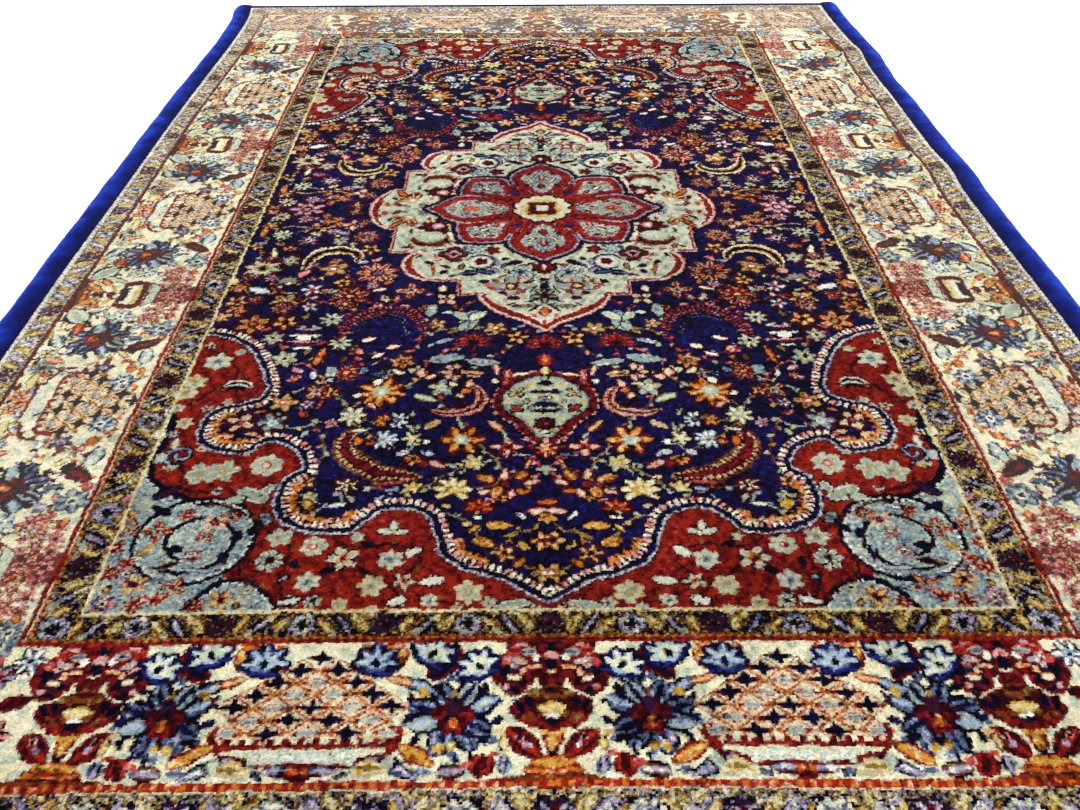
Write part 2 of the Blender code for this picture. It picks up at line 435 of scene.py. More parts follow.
def book(y):
    """The striped palmette of the side borders, at a place along them."""
    for out, half, wools in (
        (421, 58, "crimson maroon"), (430, 44, "maroon crimson"), (408, 36, "rose crimson")
    ):
        leaf(out, y, 30, 2 * half, 0, *strips(wools, (1, 0.7)))
    for at in (0, 17, 33, 48):
        for out, size, wools, heart in (
            (411, 9, "crimson pink rose", "maroon ink"),
            (426, 9, "maroon peach red", "crimson pink"),
            (438, 7, "ink rose pink", "maroon rose"),
        ):
            for way in (1, -1):
                spray(
                    out + 0.05 * at, y + way * (at + (out == 426) * 7), size, 20, 5, 360, 0.6, wools, heart
                )
    for low, high, half, wool in (
        (439, 452.5, 32, "crimson"), (441, 450.5, 30, "mist"), (454, 484, 31, "crimson"),
        (456.5, 481.5, 28, "maroon"), (459, 480, 24, "crimson"),
        (461, 479, 21, "cream"), (474, 479.5, 17, "ink"), (468, 473, 18, "ivory"), (461, 466, 20, "straw"),
    ):
        area = near(0.5 * (low + high), y, 60)
        box = (X[area] > low) & (X[area] < high) & (
            np.abs(Y[area] - y) < half - 0.02 * (X[area] - 468) ** 2
        )
        tie(box, wool, area)
    for out, at, length, width, turn, wools in (
        (530, 0, 78, 14, 90, "crimson maroon"), (522, 0, 50, 14, 90, "umber crimson orange"),
        (504, 0, 22, 16, 0, "crimson maroon"), (492, 0, 16, 18, 90, "cream crimson"),
        (514, 15, 28, 13, 50, "umber gold orange"), (506, 28, 22, 11, 60, "crimson orange"),
        (494, 16, 16, 8, 60, "straw gold"), (488, 30, 14, 9, 30, "umber peach"),
        (524, 36, 20, 8, 80, "crimson red"), (494, 36, 12, 6, 40, "ink"),
    ):
        for way in (1, -1) if at else (1,):
            leaf(out, y + way * at, length, width, way * turn, *strips(wools, (1, 0.62, 0.34)))


def half_flower(x, y, size, turn, wools):
    """A flower seen from the side: a dark scalloped arch over a light heart that opens against turn."""
    arch, petals, heart = wools.split()
    foot = beyond(x, y, -0.5 * size, turn)
    leaf(*foot, 1.7 * size, 0.6 * size, turn + 84, (arch, 1), ("blue", 0.34))
    spray(x, y, 1.16 * size, turn, 5, 235, 0.7, "navy")
    spray(x, y, 0.96 * size, turn, 5, 225, 0.5, wools)
    leaf(x, y, 1.25 * size, 0.95 * size, turn + 90, (petals, 1), (heart, 0.6))
    spray(x, y, 0.72 * size, turn, 3, 130, 0.34, heart)
    leaf(x, y, 0.6 * size, 0.34 * size, turn, (arch, 1))


# end borders
for x in (0, 334):
    motif(x, OUTER_Y, -90, FAN)
lattice(170, 818.5, -90, 82, 10.8, 14.0, "orange")
for x in (70, 271):
    great_rosette(x, 788, 31, -90)
# what fills the ground between them, the same on both sides of the lattice's middle
motif(170, OUTER_Y, -90, [
    # hoods of the half flowers, gold buds and slips along the inner line
    (113, 46, 34, 11, 70, "crimson orange"), (104, 58, 24, 12, 10, "crimson orange gold"),
    (114, 30, 12, 8, 60, "umber orange"),
    (104, 97, 32, 17, 4, "crimson maroon ink"), (92, 88, 24, 14, 62, "crimson maroon ink"),
    (80, 74, 30, 12, -66, "ink steel sky"),
    (85, 60, 22, 9, -70, "umber orange peach"), (74, 78, 10, 8, 0, "olive gold"),
    (70, 70, 12, 5, -40, "maroon"), (87, 96, 9, 7, 0, "ink steel"),
    (104, 128, 18, 7, 70, "crimson"), (100, 40, 14, 6, 60, "ink"), (94, 112, 26, 7, -60, "ink steel"),
    (84, 106, 10, 7, 20, "steel ink"), (82, 50, 10, 5, 90, "cream"),
    # along the outer line
    (13, 63, 36, 12, -62, "ink steel lilac"), (17, 58, 13, 14, 20, "ink sage"),
    (23, 76, 32, 14, -58, "crimson orange gold"), (10, 82, 14, 5, 90, "steel"),
    (10, 42, 34, 10, 90, "sage straw"), (13, 46, 18, 13, 90, "sand straw olive"),
    (8, 28, 12, 6, 60, "ink steel"), (10, 101, 22, 14, 80, "ink umber lilac"),
    (21, 104, 8, 6, 0, "steel ink"),
    (14, 121, 20, 19, 20, "crimson red maroon"), (16, 112, 10, 6, 70, "rose"),
    (14, 136, 15, 11, 0, "steel ink lilac"), (31, 136, 15, 8, 0, "ink gold straw"),
    (28, 92, 10, 6, 40, "gold"), (36, 88, 10, 8, 0, "steel lilac"), (23, 130, 10, 4, 90, "rose"),
    (40, 132, 8, 5, 60, "sand"),
])
for way in (1, -1):
    half_flower(170 + way * 41, 741, 17, -90, "ink steel sky")
    half_flower(170 + way * 82, 733, 17, -90 + way * 30, "ink sky mist")
    half_flower(170 + way * 117, 745, 16, -90 - way * 30, "ink sky frost")

# side borders
for middle, reach, pace, start, wool, leaflets in (
    (468, 46, 17, 0, "ink", "steel crimson sage umber sky"),
    (424, 15, 13, 1, "umber", "rose olive steel orange"),
    (513, 13, 11, 2, "crimson", "ink sage gold steel"), (450, 22, 21, 3, "steel", "ink rose gold"),
):
    vine(
        [(middle + reach * math.sin(y / pace + start), y) for y in range(0, 836, 6)], wool, leaflets,
        every=8, leaf_length=9, half=0.9,
    )
for y in (0, 417):
    lattice(499, y, 180, 94, 13.7, 11.8, "gold", rows=7)
for y in (212, 640):
    book(y)
for y in (118, 305, 544):
    great_rosette(475, y, 32, 180)
lattice(494, 814, -135, 86, 11.2, 13.2, "orange")
for middle, way, stretch in ((0, 1, 1.0), (417, -1, 0.97), (417, 1, 1.06), (858, -1, 1.02)):
    # how far out, how far from the middle of the lattice, radius, petals and their wools, heart
    for out, at, size, count, wools, heart in (
        (425, 34, 14, 6, "ink steel sky", "ivory ink"), (453, 60, 12, 5, "crimson steel ink", "sky rose"),
        (516, 60, 14, 6, "ink mist steel", "umber ink"), (415, 136, 17, 6, "ink steel teal", "mist ink"),
        (467, 162, 14, 6, "ink sky mist", "ivory steel"),
        (520, 10, 11, 6, "crimson orange peach", "maroon pink"),
        (440, 160, 10, 5, "maroon rose pink", "ink rose"), (520, 88, 10, 5, "ink sage mist", "gold ink"),
    ):
        spray(out, middle + way * at * stretch, size, way * 20, count, 360, 0.66, wools, heart)
    for out, at, length, width, turn, wools in (
        (424, 58, 16, 12, 90, "crimson orange"), (415, 80, 30, 17, 80, "ink sky mist"),
        (424, 102, 40, 18, 148, "maroon ink crimson"), (434, 94, 18, 12, 60, "maroon ink"),
        (508, 75, 26, 11, 20, "umber orange peach"), (518, 112, 28, 19, 60, "ink steel mist"),
        (505, 138, 22, 16, 90, "crimson red orange"),
        (514, 163, 38, 30, 50, "ink mist sage"), (498, 178, 26, 12, -20, "ink mist"),
        (522, 142, 16, 8, 80, "umber straw"), (442, 86, 18, 8, 40, "umber straw"),
        (517, 38, 26, 12, 90, "olive straw"), (508, 48, 14, 7, 40, "crimson orange"),
        (410, 50, 16, 6, 90, "umber gold"), (432, 72, 12, 6, 20, "crimson rose"),
        (500, 92, 14, 7, 120, "ink lilac"), (438, 118, 18, 7, 10, "ink steel"),
        (442, 142, 16, 8, 150, "ink lilac"), (412, 160, 14, 7, 90, "crimson orange"),
        (410, 22, 12, 6, 80, "rose orange"), (452, 74, 14, 6, 60, "umber"),
        (462, 80, 12, 6, 110, "straw olive"), (500, 150, 12, 6, 30, "ink"),
        (484, 166, 18, 7, 60, "ink sage"),
        (528, 26, 18, 6, 90, "crimson"), (526, 70, 14, 6, 100, "rose ink"),
        (530, 126, 16, 6, 90, "umber gold"), (406, 118, 14, 6, 90, "rose"),
    ):
        leaf(out, middle + way * at * stretch, length, width, way * turn, *strips(wools, (1, 0.68, 0.36)))
# round the corners
for x, y, size, count, wools, heart in (
    (385, 736, 14, 6, "ink steel ivory", "sky ink"), (402, 750, 13, 6, "crimson navy lilac", "rose ink"),
    (412, 708, 14, 6, "ink teal steel", "mist ink"),
    (388, 800, 14, 5, "crimson maroon pink", "ink rose"), (520, 742, 15, 6, "ink steel sky", "ivory ink"),
    (430, 730, 12, 5, "umber orange peach", "crimson gold"),
):
    spray(x, y, size, 30, count, 360, 0.66, wools, heart)
leaves([
    (382, 773, 26, 15, 20, "crimson maroon"), (392, 824, 26, 13, 60, "ink steel"),
    (420, 832, 24, 12, 10, "crimson orange"), (404, 772, 20, 10, 70, "umber gold"),
    (520, 715, 28, 15, 80, "crimson maroon"), (418, 748, 18, 9, 120, "ink sage"),
    (500, 728, 22, 12, 20, "ink mist"), (412, 790, 16, 9, 90, "orange peach"),
], (1, 0.62))


# ---------------------------------------------------------------- pattern: guard stripes
# Two narrow stripes in gold and black wool close the border on both sides, with leaning leaves between
# a dark and a light flower in turn, and plain lines along them.

def guard(low_x, low_y, wide, deep, count_x, count_y, grounds, leaf_size, dark, light):
    """A guard stripe with gold leaves, and dark and light flowers in turn, from its corner to its middles."""
    within_it = (X < low_x + wide) & (Y < low_y + deep)
    band = within_it & ((X > low_x) | (Y > low_y))
    tie(band, grounds[0])
    patches = np.sin(X * 0.61 + 2 * np.sin(Y * 0.31)) * np.sin(Y * 0.57 + 2 * np.sin(X * 0.27))
    tie(band & (patches > 0.25), grounds[1])
    tie(band & (patches < -0.45), grounds[2])
    scribble = np.abs(np.sin(X * 0.42 + 2.4 * np.sin(Y * 0.36)) * np.sin(Y * 0.47 + 2.1 * np.sin(X * 0.33)))
    tie(band & (np.abs(scribble - 0.55) < 0.09), grounds[3])
    tie(band & (np.abs(scribble - 0.25) < 0.06), grounds[4])
    along_side = band & (Y < low_y)
    tie(along_side & (np.abs(scribble - 0.4) < 0.1), "lilac")
    tie(along_side & (np.abs(scribble - 0.7) < 0.06), "straw")
    middle_x, middle_y = low_x + wide / 2, low_y + deep / 2
    for run, count, turn in ((middle_x, count_x, 0), (middle_y, count_y, 90)):
        pitch = run / count
        half = min(15.0, (deep if turn == 0 else wide) / 2)

        def place(along, out):
            return (along, middle_y + out * half) if turn == 0 else (middle_x + out * half, along)

        for number in range(count + 1):
            at = pitch * number
            if number < count:
                lean = 58 if number % 2 else -58
                for offset, out, length, width, tilt, *wools in (
                    (0.27, 0, 1.9 * leaf_size, 0.84 * leaf_size, lean - 8, "olive", "straw", "gold"),
                    (0.74, 0, 1.9 * leaf_size, 0.84 * leaf_size, lean + 8, "umber", "gold", "straw"),
                    (0.5, 0, 2.1, 0.92, lean, "ink", light[2], light[1]),
                    (0.36, 0.62, 0.8, 0.42, -lean, "ink", light[2]),
                    (0.64, -0.62, 0.8, 0.42, -lean, "ink", light[2]),
                    (0.38, -0.66, 0.8, 0.5, lean, "olive", "straw"),
                    (0.62, 0.66, 0.8, 0.5, lean, "olive", "sage"), (0.2, 0.7, 0.6, 0.34, 20, "ink"),
                    (0.82, -0.7, 0.6, 0.34, 20, "ink"),
                ):
                    leaf(
                        *place(at + offset * pitch, out), length * half, width * half, turn + tilt,
                        *zip(wools, (1, 0.72, 0.3)),
                    )
            wools = (dark, light)[number % 2]
            x, y = place(at, 0)
            flower(x, y, half * 1.04, 8, *zip(wools, (1, 0.86, 0.5, 0.2)), turn=22, notch=0.36)
            for spot in range(4):
                petal = beyond(x, y, 0.52 * half, 45 + 90 * spot)
                leaf(*petal, 0.46 * half, 0.2 * half, 45 + 90 * spot, (wools[3], 1))
            leaf(x, y, 0.5 * half, 0.4 * half, 0, (wools[0], 1))
    veins = np.abs(np.sin(X * 0.9 + 1.7 * np.sin(Y * 0.51)) * np.sin(Y * 0.83 + 1.9 * np.sin(X * 0.47)))
    tie(band & (np.abs(veins - 0.42) < 0.08), "ink")
    tie(band & (veins > 0.93), grounds[4])


guard(
    366.5, 692.5, 27, 24, 6, 11, ("ink", "umber", "ink", "gold", "olive"), 0.82,
    ("ink", "plum", "maroon", "plum"), ("ink", "lilac", "ink", "mist"),
)
guard(
    537, 846, 23.5, 38, 9, 14, ("olive", "straw", "ink", "ink", "lilac"), 1.1,
    ("ink", "plum", "crimson", "lilac"), ("ink", "frost", "lilac", "steel"),
)


def frame_line(x, y, half, wool, broken=None):
    """A line round the rug at a distance from its middle."""
    inside = ((np.abs(X - x) < half) & (Y < y + half)) | ((np.abs(Y - y) < half) & (X < x + half))
    tie(inside, wool)
    if broken:
        tie(inside & (np.sin((X + Y) * 0.9) > 0.35), broken)


frame_line(LINE_X, LINE_Y, 2.6, "red", "crimson")
frame_line(394.6, 716.3, 1.6, "umber", "orange")
frame_line(OUTER_X, OUTER_Y, 3.0, "crimson", "maroon")
tie((np.abs(Y - OUTER_Y) < 3) & (X < OUTER_X), "red")
tie((np.abs(Y - OUTER_Y) < 2) & (X < OUTER_X) & (np.sin(X * 0.7) > 0.3), "orange")
frame_line(365.2, 692.6, 0.9, "ink", "gold")
frame_line(562.2, 886.5, 2.4, "cream", "lilac")

# ---------------------------------------------------------------- pattern: field
# The dark blue field inside the border. Thin stems carry small flowers, leaves and long curled leaves,
# and a pendant hangs from each end of the medallion.

field = (X < FIELD_X - 2) & (Y < FIELD_Y - 2)


def acanthus(places, width, *wools, ribs=None, slim=0.6):
    """A long curved leaf through some places, thick in the middle, its fills going inwards."""
    line = trail(places)
    away, at = follow(line, width)
    half = width / 2 * np.sin(np.pi * np.clip(at / (0.5 * len(line)), 0, 1)) ** slim + 0.8
    for wool, share in zip(wools, (1, 0.74, 0.4)):
        tie((away < width) & (away < half * share), wool)
    if ribs:
        tie((away < half * 0.86) & (away > half * 0.2) & (np.sin(at * 1.15) > 0.35), ribs)


for wool, leaflets, places in (
    ("umber", "sage rose", [(30, 318), (52, 340), (78, 372), (104, 396), (100, 425), (80, 450), (80, 475)]),
    (
        "olive", "gold sage",
        [(123, 377), (140, 395), (162, 407), (185, 425), (189, 443), (175, 462), (157, 480), (128, 500)],
    ),
    (
        "sage", "straw sage",
        [(200, 368), (222, 385), (245, 400), (255, 425), (258, 455), (240, 462), (215, 452)],
    ),
    ("rose", "pink sage", [(72, 314), (100, 330), (120, 350), (123, 377)]),
    ("olive", "sage gold", [(51, 287), (80, 285), (110, 290), (128, 300)]),
    ("umber", "sage rose", [(168, 340), (200, 330), (230, 315), (249, 302), (268, 280), (276, 262)]),
    ("rose", "gold pink", [(150, 206), (185, 235), (216, 221), (250, 215), (276, 235), (290, 262)]),
    ("olive", "sage straw", [(243, 161), (270, 185), (300, 190), (325, 170), (340, 140)]),
    ("umber", "gold rose", [(246, 146), (225, 180), (216, 221)]),
    ("olive", "sage gold", [(80, 475), (60, 490), (43, 515), (42, 542), (50, 570), (69, 578)]),
    (
        "umber", "rose sage",
        [(5, 500), (20, 520), (42, 542), (70, 548), (90, 547), (124, 552), (150, 548), (184, 545)],
    ),
    ("sage", "sage gold", [(144, 446), (130, 460), (120, 480), (127, 501), (106, 516), (70, 515)]),
    ("olive", "gold orange", [(0, 580), (12, 600), (28, 607), (40, 628), (24, 640), (4, 652)]),
    ("olive", "sage straw", [(240, 90), (262, 66), (285, 55), (310, 66), (330, 92)]),
    ("rose", "sage pink", [(310, 16), (290, 30), (262, 40), (245, 60), (246, 86)]),
    ("umber", "rose straw", [(310, 130), (318, 160), (310, 192), (288, 214), (262, 225), (236, 236)]),
    (
        "olive", "sage orange",
        [(346, 20), (335, 60), (345, 100), (338, 140), (346, 180), (338, 215), (344, 250)],
    ),
    ("rose", "sage gold", [(288, 305), (275, 325), (268, 344), (240, 360), (215, 400), (225, 430)]),
    ("crimson", "sage rose", [(0, 300), (20, 292), (44, 296), (68, 312), (76, 340), (66, 352), (40, 366)]),
    ("umber", "gold orange", [(232, 240), (205, 250), (184, 244), (160, 226), (150, 206)]),
    ("crimson", "rose sage", [(140, 250), (130, 276), (132, 310), (150, 340), (178, 352), (202, 366)]),
    ("crimson", "rose orange", [(210, 250), (218, 280), (206, 315), (196, 345), (202, 368)]),
    ("olive", "sage olive", [(226, 403), (196, 420), (192, 438), (170, 452), (149, 448)]),
    ("umber", "olive sage", [(257, 420), (230, 440), (214, 470), (205, 500), (212, 530), (209, 562)]),
    (
        "olive", "straw sage",
        [(69, 514), (90, 530), (106, 545), (125, 555), (104, 575), (70, 590), (54, 616)],
    ),
    ("rose", "pink gold", [(38, 492), (20, 505), (4, 521), (20, 548), (40, 560), (67, 576)]),
    ("sage", "lilac sage", [(185, 546), (180, 565), (190, 571), (205, 580)]),
    ("umber", "orange rose", [(76, 230), (96, 246), (110, 226), (128, 214), (152, 207)]),
):
    vine(places, wool, leaflets)

# each flower's petals, over how many degrees, how wide, their wools from outline to heart
FLOWERS = {
    "carnation": (7, 230, 0.42, "rose red crimson", "maroon ink"),
    "red": (8, 360, 0.44, "sand red crimson", "crimson peach"),
    "rose": (9, 360, 0.42, "rose sand crimson", "crimson steel"),
    "cream": (8, 360, 0.4, "sand cream sage", "olive ink"),
    "pink": (7, 360, 0.46, "rose pink lilac", "plum pink"),
    "gold": (8, 360, 0.46, "orange gold orange", "lilac ink"),
    "six": (6, 360, 0.6, "umber sand orange", "crimson olive"),
    "orange": (5, 360, 0.66, "umber gold peach", "crimson ink"),
    "straw": (5, 360, 0.66, "olive sand gold", "rose ivory"),
    "cross": (4, 360, 0.66, "sand cream pink", "maroon rose"),
    "red cross": (4, 360, 0.68, "crimson sand red", "sage crimson"),
    "eye": (8, 360, 0.4, "olive mist", "sage ink"),
    "sage": (6, 360, 0.6, "olive sage teal", "straw ink"),
    "teal": (5, 360, 0.66, "steel sage teal", "ivory teal"),
    "bud": (3, 150, 0.62, "sand pink red", "crimson orange"),
    "pale bud": (3, 150, 0.62, "sand cream sage", "maroon gold"),
    "bell": (5, 170, 0.5, "teal sage olive", "olive ivory"),
    "plum": (8, 360, 0.34, "rose plum lilac", "cream ink"),
    "lilac": (5, 360, 0.6, "steel lilac ivory", "rose ink"),
}
# |x|, |y|, radius, kind, and which way it looks
for x, y, size, kind, turn in (
    # beside the medallion
    (307, 0, 25, "pink", 0), (336, 21, 13, "cream", 0), (304, 28, 11, "pink", 0),
    (240, 46, 15, "cross", 45), (325, 71, 14, "eye", 0),
    (290, 87, 14, "plum", 20), (250, 88, 11, "sage", 0), (219, 77, 18, "rose", 0),
    (210, 110, 13, "orange", 20), (350, 100, 11, "orange", 0),
    (309, 112, 11, "bud", -90), (302, 137, 13, "sage", 0), (247, 157, 18, "straw", 0),
    (332, 155, 24, "cream", 10), (195, 167, 27, "rose", 0),
    (232, 189, 11, "orange", 0), (295, 190, 15, "bell", -90), (265, 205, 14, "lilac", 0),
    (219, 220, 23, "red", 0), (152, 207, 18, "red cross", 45),
    (110, 226, 14, "cross", 0), (345, 230, 14, "orange", 30), (326, 225, 10, "red", 0),
    (292, 230, 17, "straw", 20), (350, 200, 11, "gold", 0),
    # and slips between them
    (243, 10, 10, "red cross", 30), (228, 38, 9, "red", 0), (262, 64, 9, "pink", 0),
    (281, 66, 10, "pale bud", 60),
    (345, 46, 10, "straw", 20), (350, 8, 10, "red cross", 0), (322, 92, 9, "bud", 60),
    (268, 112, 10, "pink", 0),
    (230, 98, 8, "pale bud", 0), (326, 132, 9, "red", 0), (272, 150, 9, "red cross", 20),
    (316, 178, 9, "pink", 0),
    (250, 136, 9, "bud", 120), (175, 186, 9, "pale bud", 0), (345, 176, 8, "red", 0),
    (196, 196, 9, "pink", 0),
    (248, 208, 9, "red cross", 0), (312, 208, 9, "rose", 0), (176, 222, 10, "pale bud", 30),
    (132, 246, 9, "red", 0),
    # between the medallion and the pendant
    (342, 250, 14, "six", 30), (292, 244, 13, "rose", 0), (262, 241, 11, "lilac", 0),
    (223, 236, 13, "red", 0), (184, 246, 11, "pink", 0),
    (354, 263, 11, "straw", 0), (317, 278, 20, "six", 0), (282, 274, 14, "orange", 20),
    (232, 268, 14, "eye", 10), (117, 278, 10, "straw", 0),
    (53, 288, 13, "straw", 20), (30, 306, 13, "orange", -30), (76, 316, 21, "carnation", -90),
    (0, 320, 20, "carnation", -90),
    (217, 314, 14, "eye", 0), (290, 305, 13, "sage", 0), (147, 350, 14, "six", 15),
    (202, 370, 17, "red", 0), (129, 372, 14, "pale bud", -90),
    (97, 370, 13, "cross", 45), (270, 345, 16, "sage", 20), (226, 403, 15, "red cross", 0),
    (257, 421, 15, "straw", 40), (292, 453, 15, "cross", 20),
    (262, 453, 15, "teal", 0), (252, 383, 10, "bud", -60), (236, 345, 9, "orange", 0),
    (303, 320, 9, "pink", 0), (160, 372, 8, "sage", 0), (232, 424, 8, "lilac", 0),
    (212, 404, 8, "orange", 0),
    (205, 455, 8, "pink", 0),
    # above the point of the field
    (209, 562, 10, "sage", 0),
    (36, 629, 11, "orange", 0), (4, 614, 12, "orange", 0), (3, 651, 11, "straw", 0),
    (215, 540, 9, "orange", 0), (222, 500, 7, "gold", 0),
):
    count, span, width, wools, heart = FLOWERS[kind]
    halo = ("ink", "maroon", "plum")[int(x + y) % 3]
    spray(x, y, size + 3, turn, count, span, 1.25 * width, halo, "ink")
    spray(x, y, 0.95 * size, turn, count, span, 0.9 * width, wools, heart)

# leaves and slips: |x|, |y|, length, width, which way they point, wools
leaves([
    (125, 250, 26, 13, 80, "sage teal"), (82, 272, 44, 19, 80, "sage teal"), (74, 262, 26, 12, 40, "mist"),
    (92, 262, 24, 11, 130, "mist sage"),
    (88, 284, 20, 10, 60, "sage"), (107, 255, 14, 6, 0, "mist"), (156, 241, 11, 8, 0, "pink"),
    (26, 283, 12, 5, 20, "lilac"),
    (109, 313, 28, 6, 20, "sage lilac"), (102, 345, 38, 15, 10, "sage teal"),
    (64, 352, 38, 12, 170, "sage teal"),
    (75, 374, 24, 8, 160, "orange peach"), (218, 368, 12, 26, 0, "sage teal"),
    (185, 366, 9, 20, 0, "steel"),
    (173, 339, 16, 8, 30, "rose ivory"), (159, 323, 16, 9, 20, "rose cream"),
    (186, 308, 17, 8, 20, "rose ivory"), (194, 330, 9, 14, 20, "orange pink"),
    (234, 340, 34, 9, 80, "crimson orange"), (253, 365, 14, 8, 150, "rose lilac"),
    (235, 374, 14, 7, 100, "lilac ivory"),
    (160, 380, 10, 9, 0, "pink"),
    (214, 142, 16, 9, 10, "steel lilac"), (200, 135, 14, 8, 40, "rose pink"),
    (281, 168, 18, 12, 60, "rose pink"), (326, 117, 22, 9, 100, "olive cream"),
    (349, 62, 32, 10, 90, "umber orange"), (250, 67, 18, 6, 0, "sky"), (345, 92, 10, 8, 0, "lilac"),
    (325, 206, 28, 13, -20, "sky ivory"),
    (187, 205, 18, 7, 20, "rose cream"), (116, 204, 13, 9, 90, "pink cream"),
    (358, 185, 9, 22, 0, "gold straw"), (290, 212, 10, 5, 0, "sage"),
    (238, 208, 12, 5, 60, "sage"), (268, 180, 12, 5, 130, "rose"), (275, 224, 12, 6, 30, "crimson"),
    (180, 190, 12, 6, 70, "orange"),
    (42, 596, 24, 10, 0, "orange gold"), (54, 616, 20, 11, -20, "orange gold"),
    (77, 617, 14, 9, 0, "umber orange"), (24, 639, 14, 8, 50, "umber orange"),
    (30, 607, 18, 5, 30, "olive"), (62, 600, 12, 6, 50, "umber gold"),
    (20, 620, 14, 6, 120, "olive gold"), (56, 634, 12, 6, 150, "orange"),
    (208, 345, 12, 5, 60, "umber"), (140, 330, 12, 5, 20, "rose"), (120, 320, 10, 5, 80, "sage"),
    (248, 330, 14, 5, 70, "olive"), (300, 288, 12, 5, 30, "rose"), (262, 262, 12, 6, 70, "olive"),
    (246, 284, 12, 5, 150, "sage"), (98, 294, 12, 5, 20, "olive"),
    (228, 470, 12, 5, 60, "sage"), (236, 440, 12, 5, 120, "rose"), (276, 436, 10, 5, 20, "orange"),
    (278, 470, 12, 6, 0, "orange peach"), (302, 474, 16, 9, 0, "orange peach"),
    (208, 570, 10, 22, 30, "umber gold"), (90, 620, 9, 24, 20, "umber gold"),
    (66, 644, 26, 7, 150, "umber gold"),
], outline=3)

# long curled leaves
acanthus(
    [(222, 312), (214, 284), (196, 258), (172, 248), (148, 254), (134, 276), (128, 310)], 15, "crimson",
    "ink", "plum", ribs="rose",
)
acanthus([(206, 300), (198, 276), (184, 264), (168, 262), (152, 274), (146, 300)], 5, "steel", "ink")
acanthus(
    [(176, 462), (186, 474), (187, 492), (178, 508), (164, 520), (146, 529), (114, 533)], 25, "umber",
    "sand", "crimson", ribs="maroon", slim=0.5,
)
acanthus(
    [(283, 160), (279, 134), (268, 118), (250, 112), (232, 116), (222, 128), (224, 140)], 17, "ivory",
    "gold", "ink", slim=0.5,
)
acanthus(
    [(74, 392), (66, 402), (62, 416), (66, 430), (80, 437), (94, 440), (110, 434)], 12, "rose", "pink",
    "crimson", ribs="sand",
)
draw(
    trail([(254, 42), (270, 52), (290, 54), (314, 48), (330, 52)]), ("ink", 2.6), ("umber", 1.8),
    ("peach", 0.9),
)
for x, y, size, turn in (
    (276, 20, 9, 30), (262, 27, 10, 80), (272, 38, 9, -20), (258, 44, 8, 10), (286, 45, 8, 60)
):
    spray(x, y, size, turn, 5, 240, 0.6, "maroon umber orange", "gold umber")
# a striped bloom
for row in range(7):
    leaf(
        256, 288 + 6 * row, (24, 34, 38, 38, 36, 30, 20)[row], 3.6, 0,
        (("pink", "plum", "ivory", "ink", "pink", "crimson", "ivory")[row], 1),
    )
leaf(256, 304, 12, 30, 90, ("ink", 1), ("ivory", 0.6))

# pendant and bud over it
pendant = trail(
    [
        (0, 376), (14, 380), (27, 389), (37, 401), (42, 418), (39, 434), (28, 444), (20, 452), (16, 462),
        (9, 472), (0, 480),
    ]
)
pendant = np.vstack([pendant, pendant[::-1] * (-1, 1)])
away, at = follow(pendant, 14)
inner = within(pendant)
tie((away < 13) & ~inner, "ink")
tie((away < 11) & ~inner & (np.sin(at * 0.8) > -0.2), "pink")
tie((away < 8.6) & ~inner, "crimson")
tie((away < 6.4) & ~inner & (np.sin(at * 0.5) > 0.2), "maroon")
tie((away < 2.2) & ~inner, "maroon")
tie(inner, "teal")
tie(inner & (away > 2.4), "mist")
patches = np.sin(X * 0.3) * np.sin(Y * 0.22)
tie(inner & (away > 4) & (patches > 0.5), "straw")
tie(inner & (away > 4) & (patches < -0.4), "sage")
for x, y, size, turn, count, span, width, wools, heart in (
    (28, 405, 9, 0, 4, 360, 0.5, "olive mist straw", "orange ink"),
    (28, 431, 7, 0, 4, 360, 0.7, "maroon rose", "rose ink"),
    (0, 455, 11, 0, 6, 360, 0.7, "ink maroon", "crimson rose"),
    # beside and under it
    (90, 370, 18, 45, 4, 360, 0.5, "rose shell sand", "ink maroon"),
    (163, 404, 28, 12, 9, 360, 0.42, "crimson orange gold", "sage mist"),
    (143, 450, 15, 180, 6, 250, 0.5, "ink sky ivory", "ink steel"),
    (155, 450, 11, 0, 5, 250, 0.6, "crimson orange gold", "crimson orange"),
    (186, 443, 17, 30, 7, 360, 0.46, "olive mist cream", "sage straw"),
    (78, 480, 25, 30, 6, 360, 0.5, "crimson orange gold", "sage mist"),
    (36, 490, 17, 45, 4, 360, 0.6, "crimson pink shell", "red crimson"),
    (126, 478, 13, 10, 5, 360, 0.5, "olive cream mist", "straw cream"),
    (152, 480, 16, 180, 7, 270, 0.5, "steel sky ivory", "mist steel"),
    (122, 508, 10, 90, 5, 240, 0.6, "crimson orange gold", "crimson maroon"),
    (0, 494, 13, 90, 7, 360, 0.5, "crimson rose straw", "orange straw"),
    (0, 520, 12, 90, 3, 200, 0.6, "olive mist sage", "sage"),
    (83, 551, 21, -90, 7, 300, 0.46, "olive straw cream", "gold straw"),
    (118, 550, 13, -60, 4, 200, 0.5, "olive sand straw", "straw"),
    (178, 545, 12, 0, 6, 360, 0.6, "maroon crimson cream", "ink cream"),
    (60, 575, 14, -90, 5, 230, 0.6, "crimson red orange", "crimson red"),
    (0, 586, 10, 90, 5, 360, 0.7, "umber gold", "orange gold"),
    (102, 397, 17, 200, 5, 360, 0.6, "olive sage teal", "mist sage"),
    (66, 513, 14, 20, 6, 360, 0.6, "olive straw sage", "gold straw"),
):
    spray(
        x, y, 0.86 * size + 2.5, turn, count, span, 1.2 * width, "maroon" if "crimson" in wools else "ink"
    )
    spray(x, y, 0.86 * size, turn, count, span, width, wools, heart)
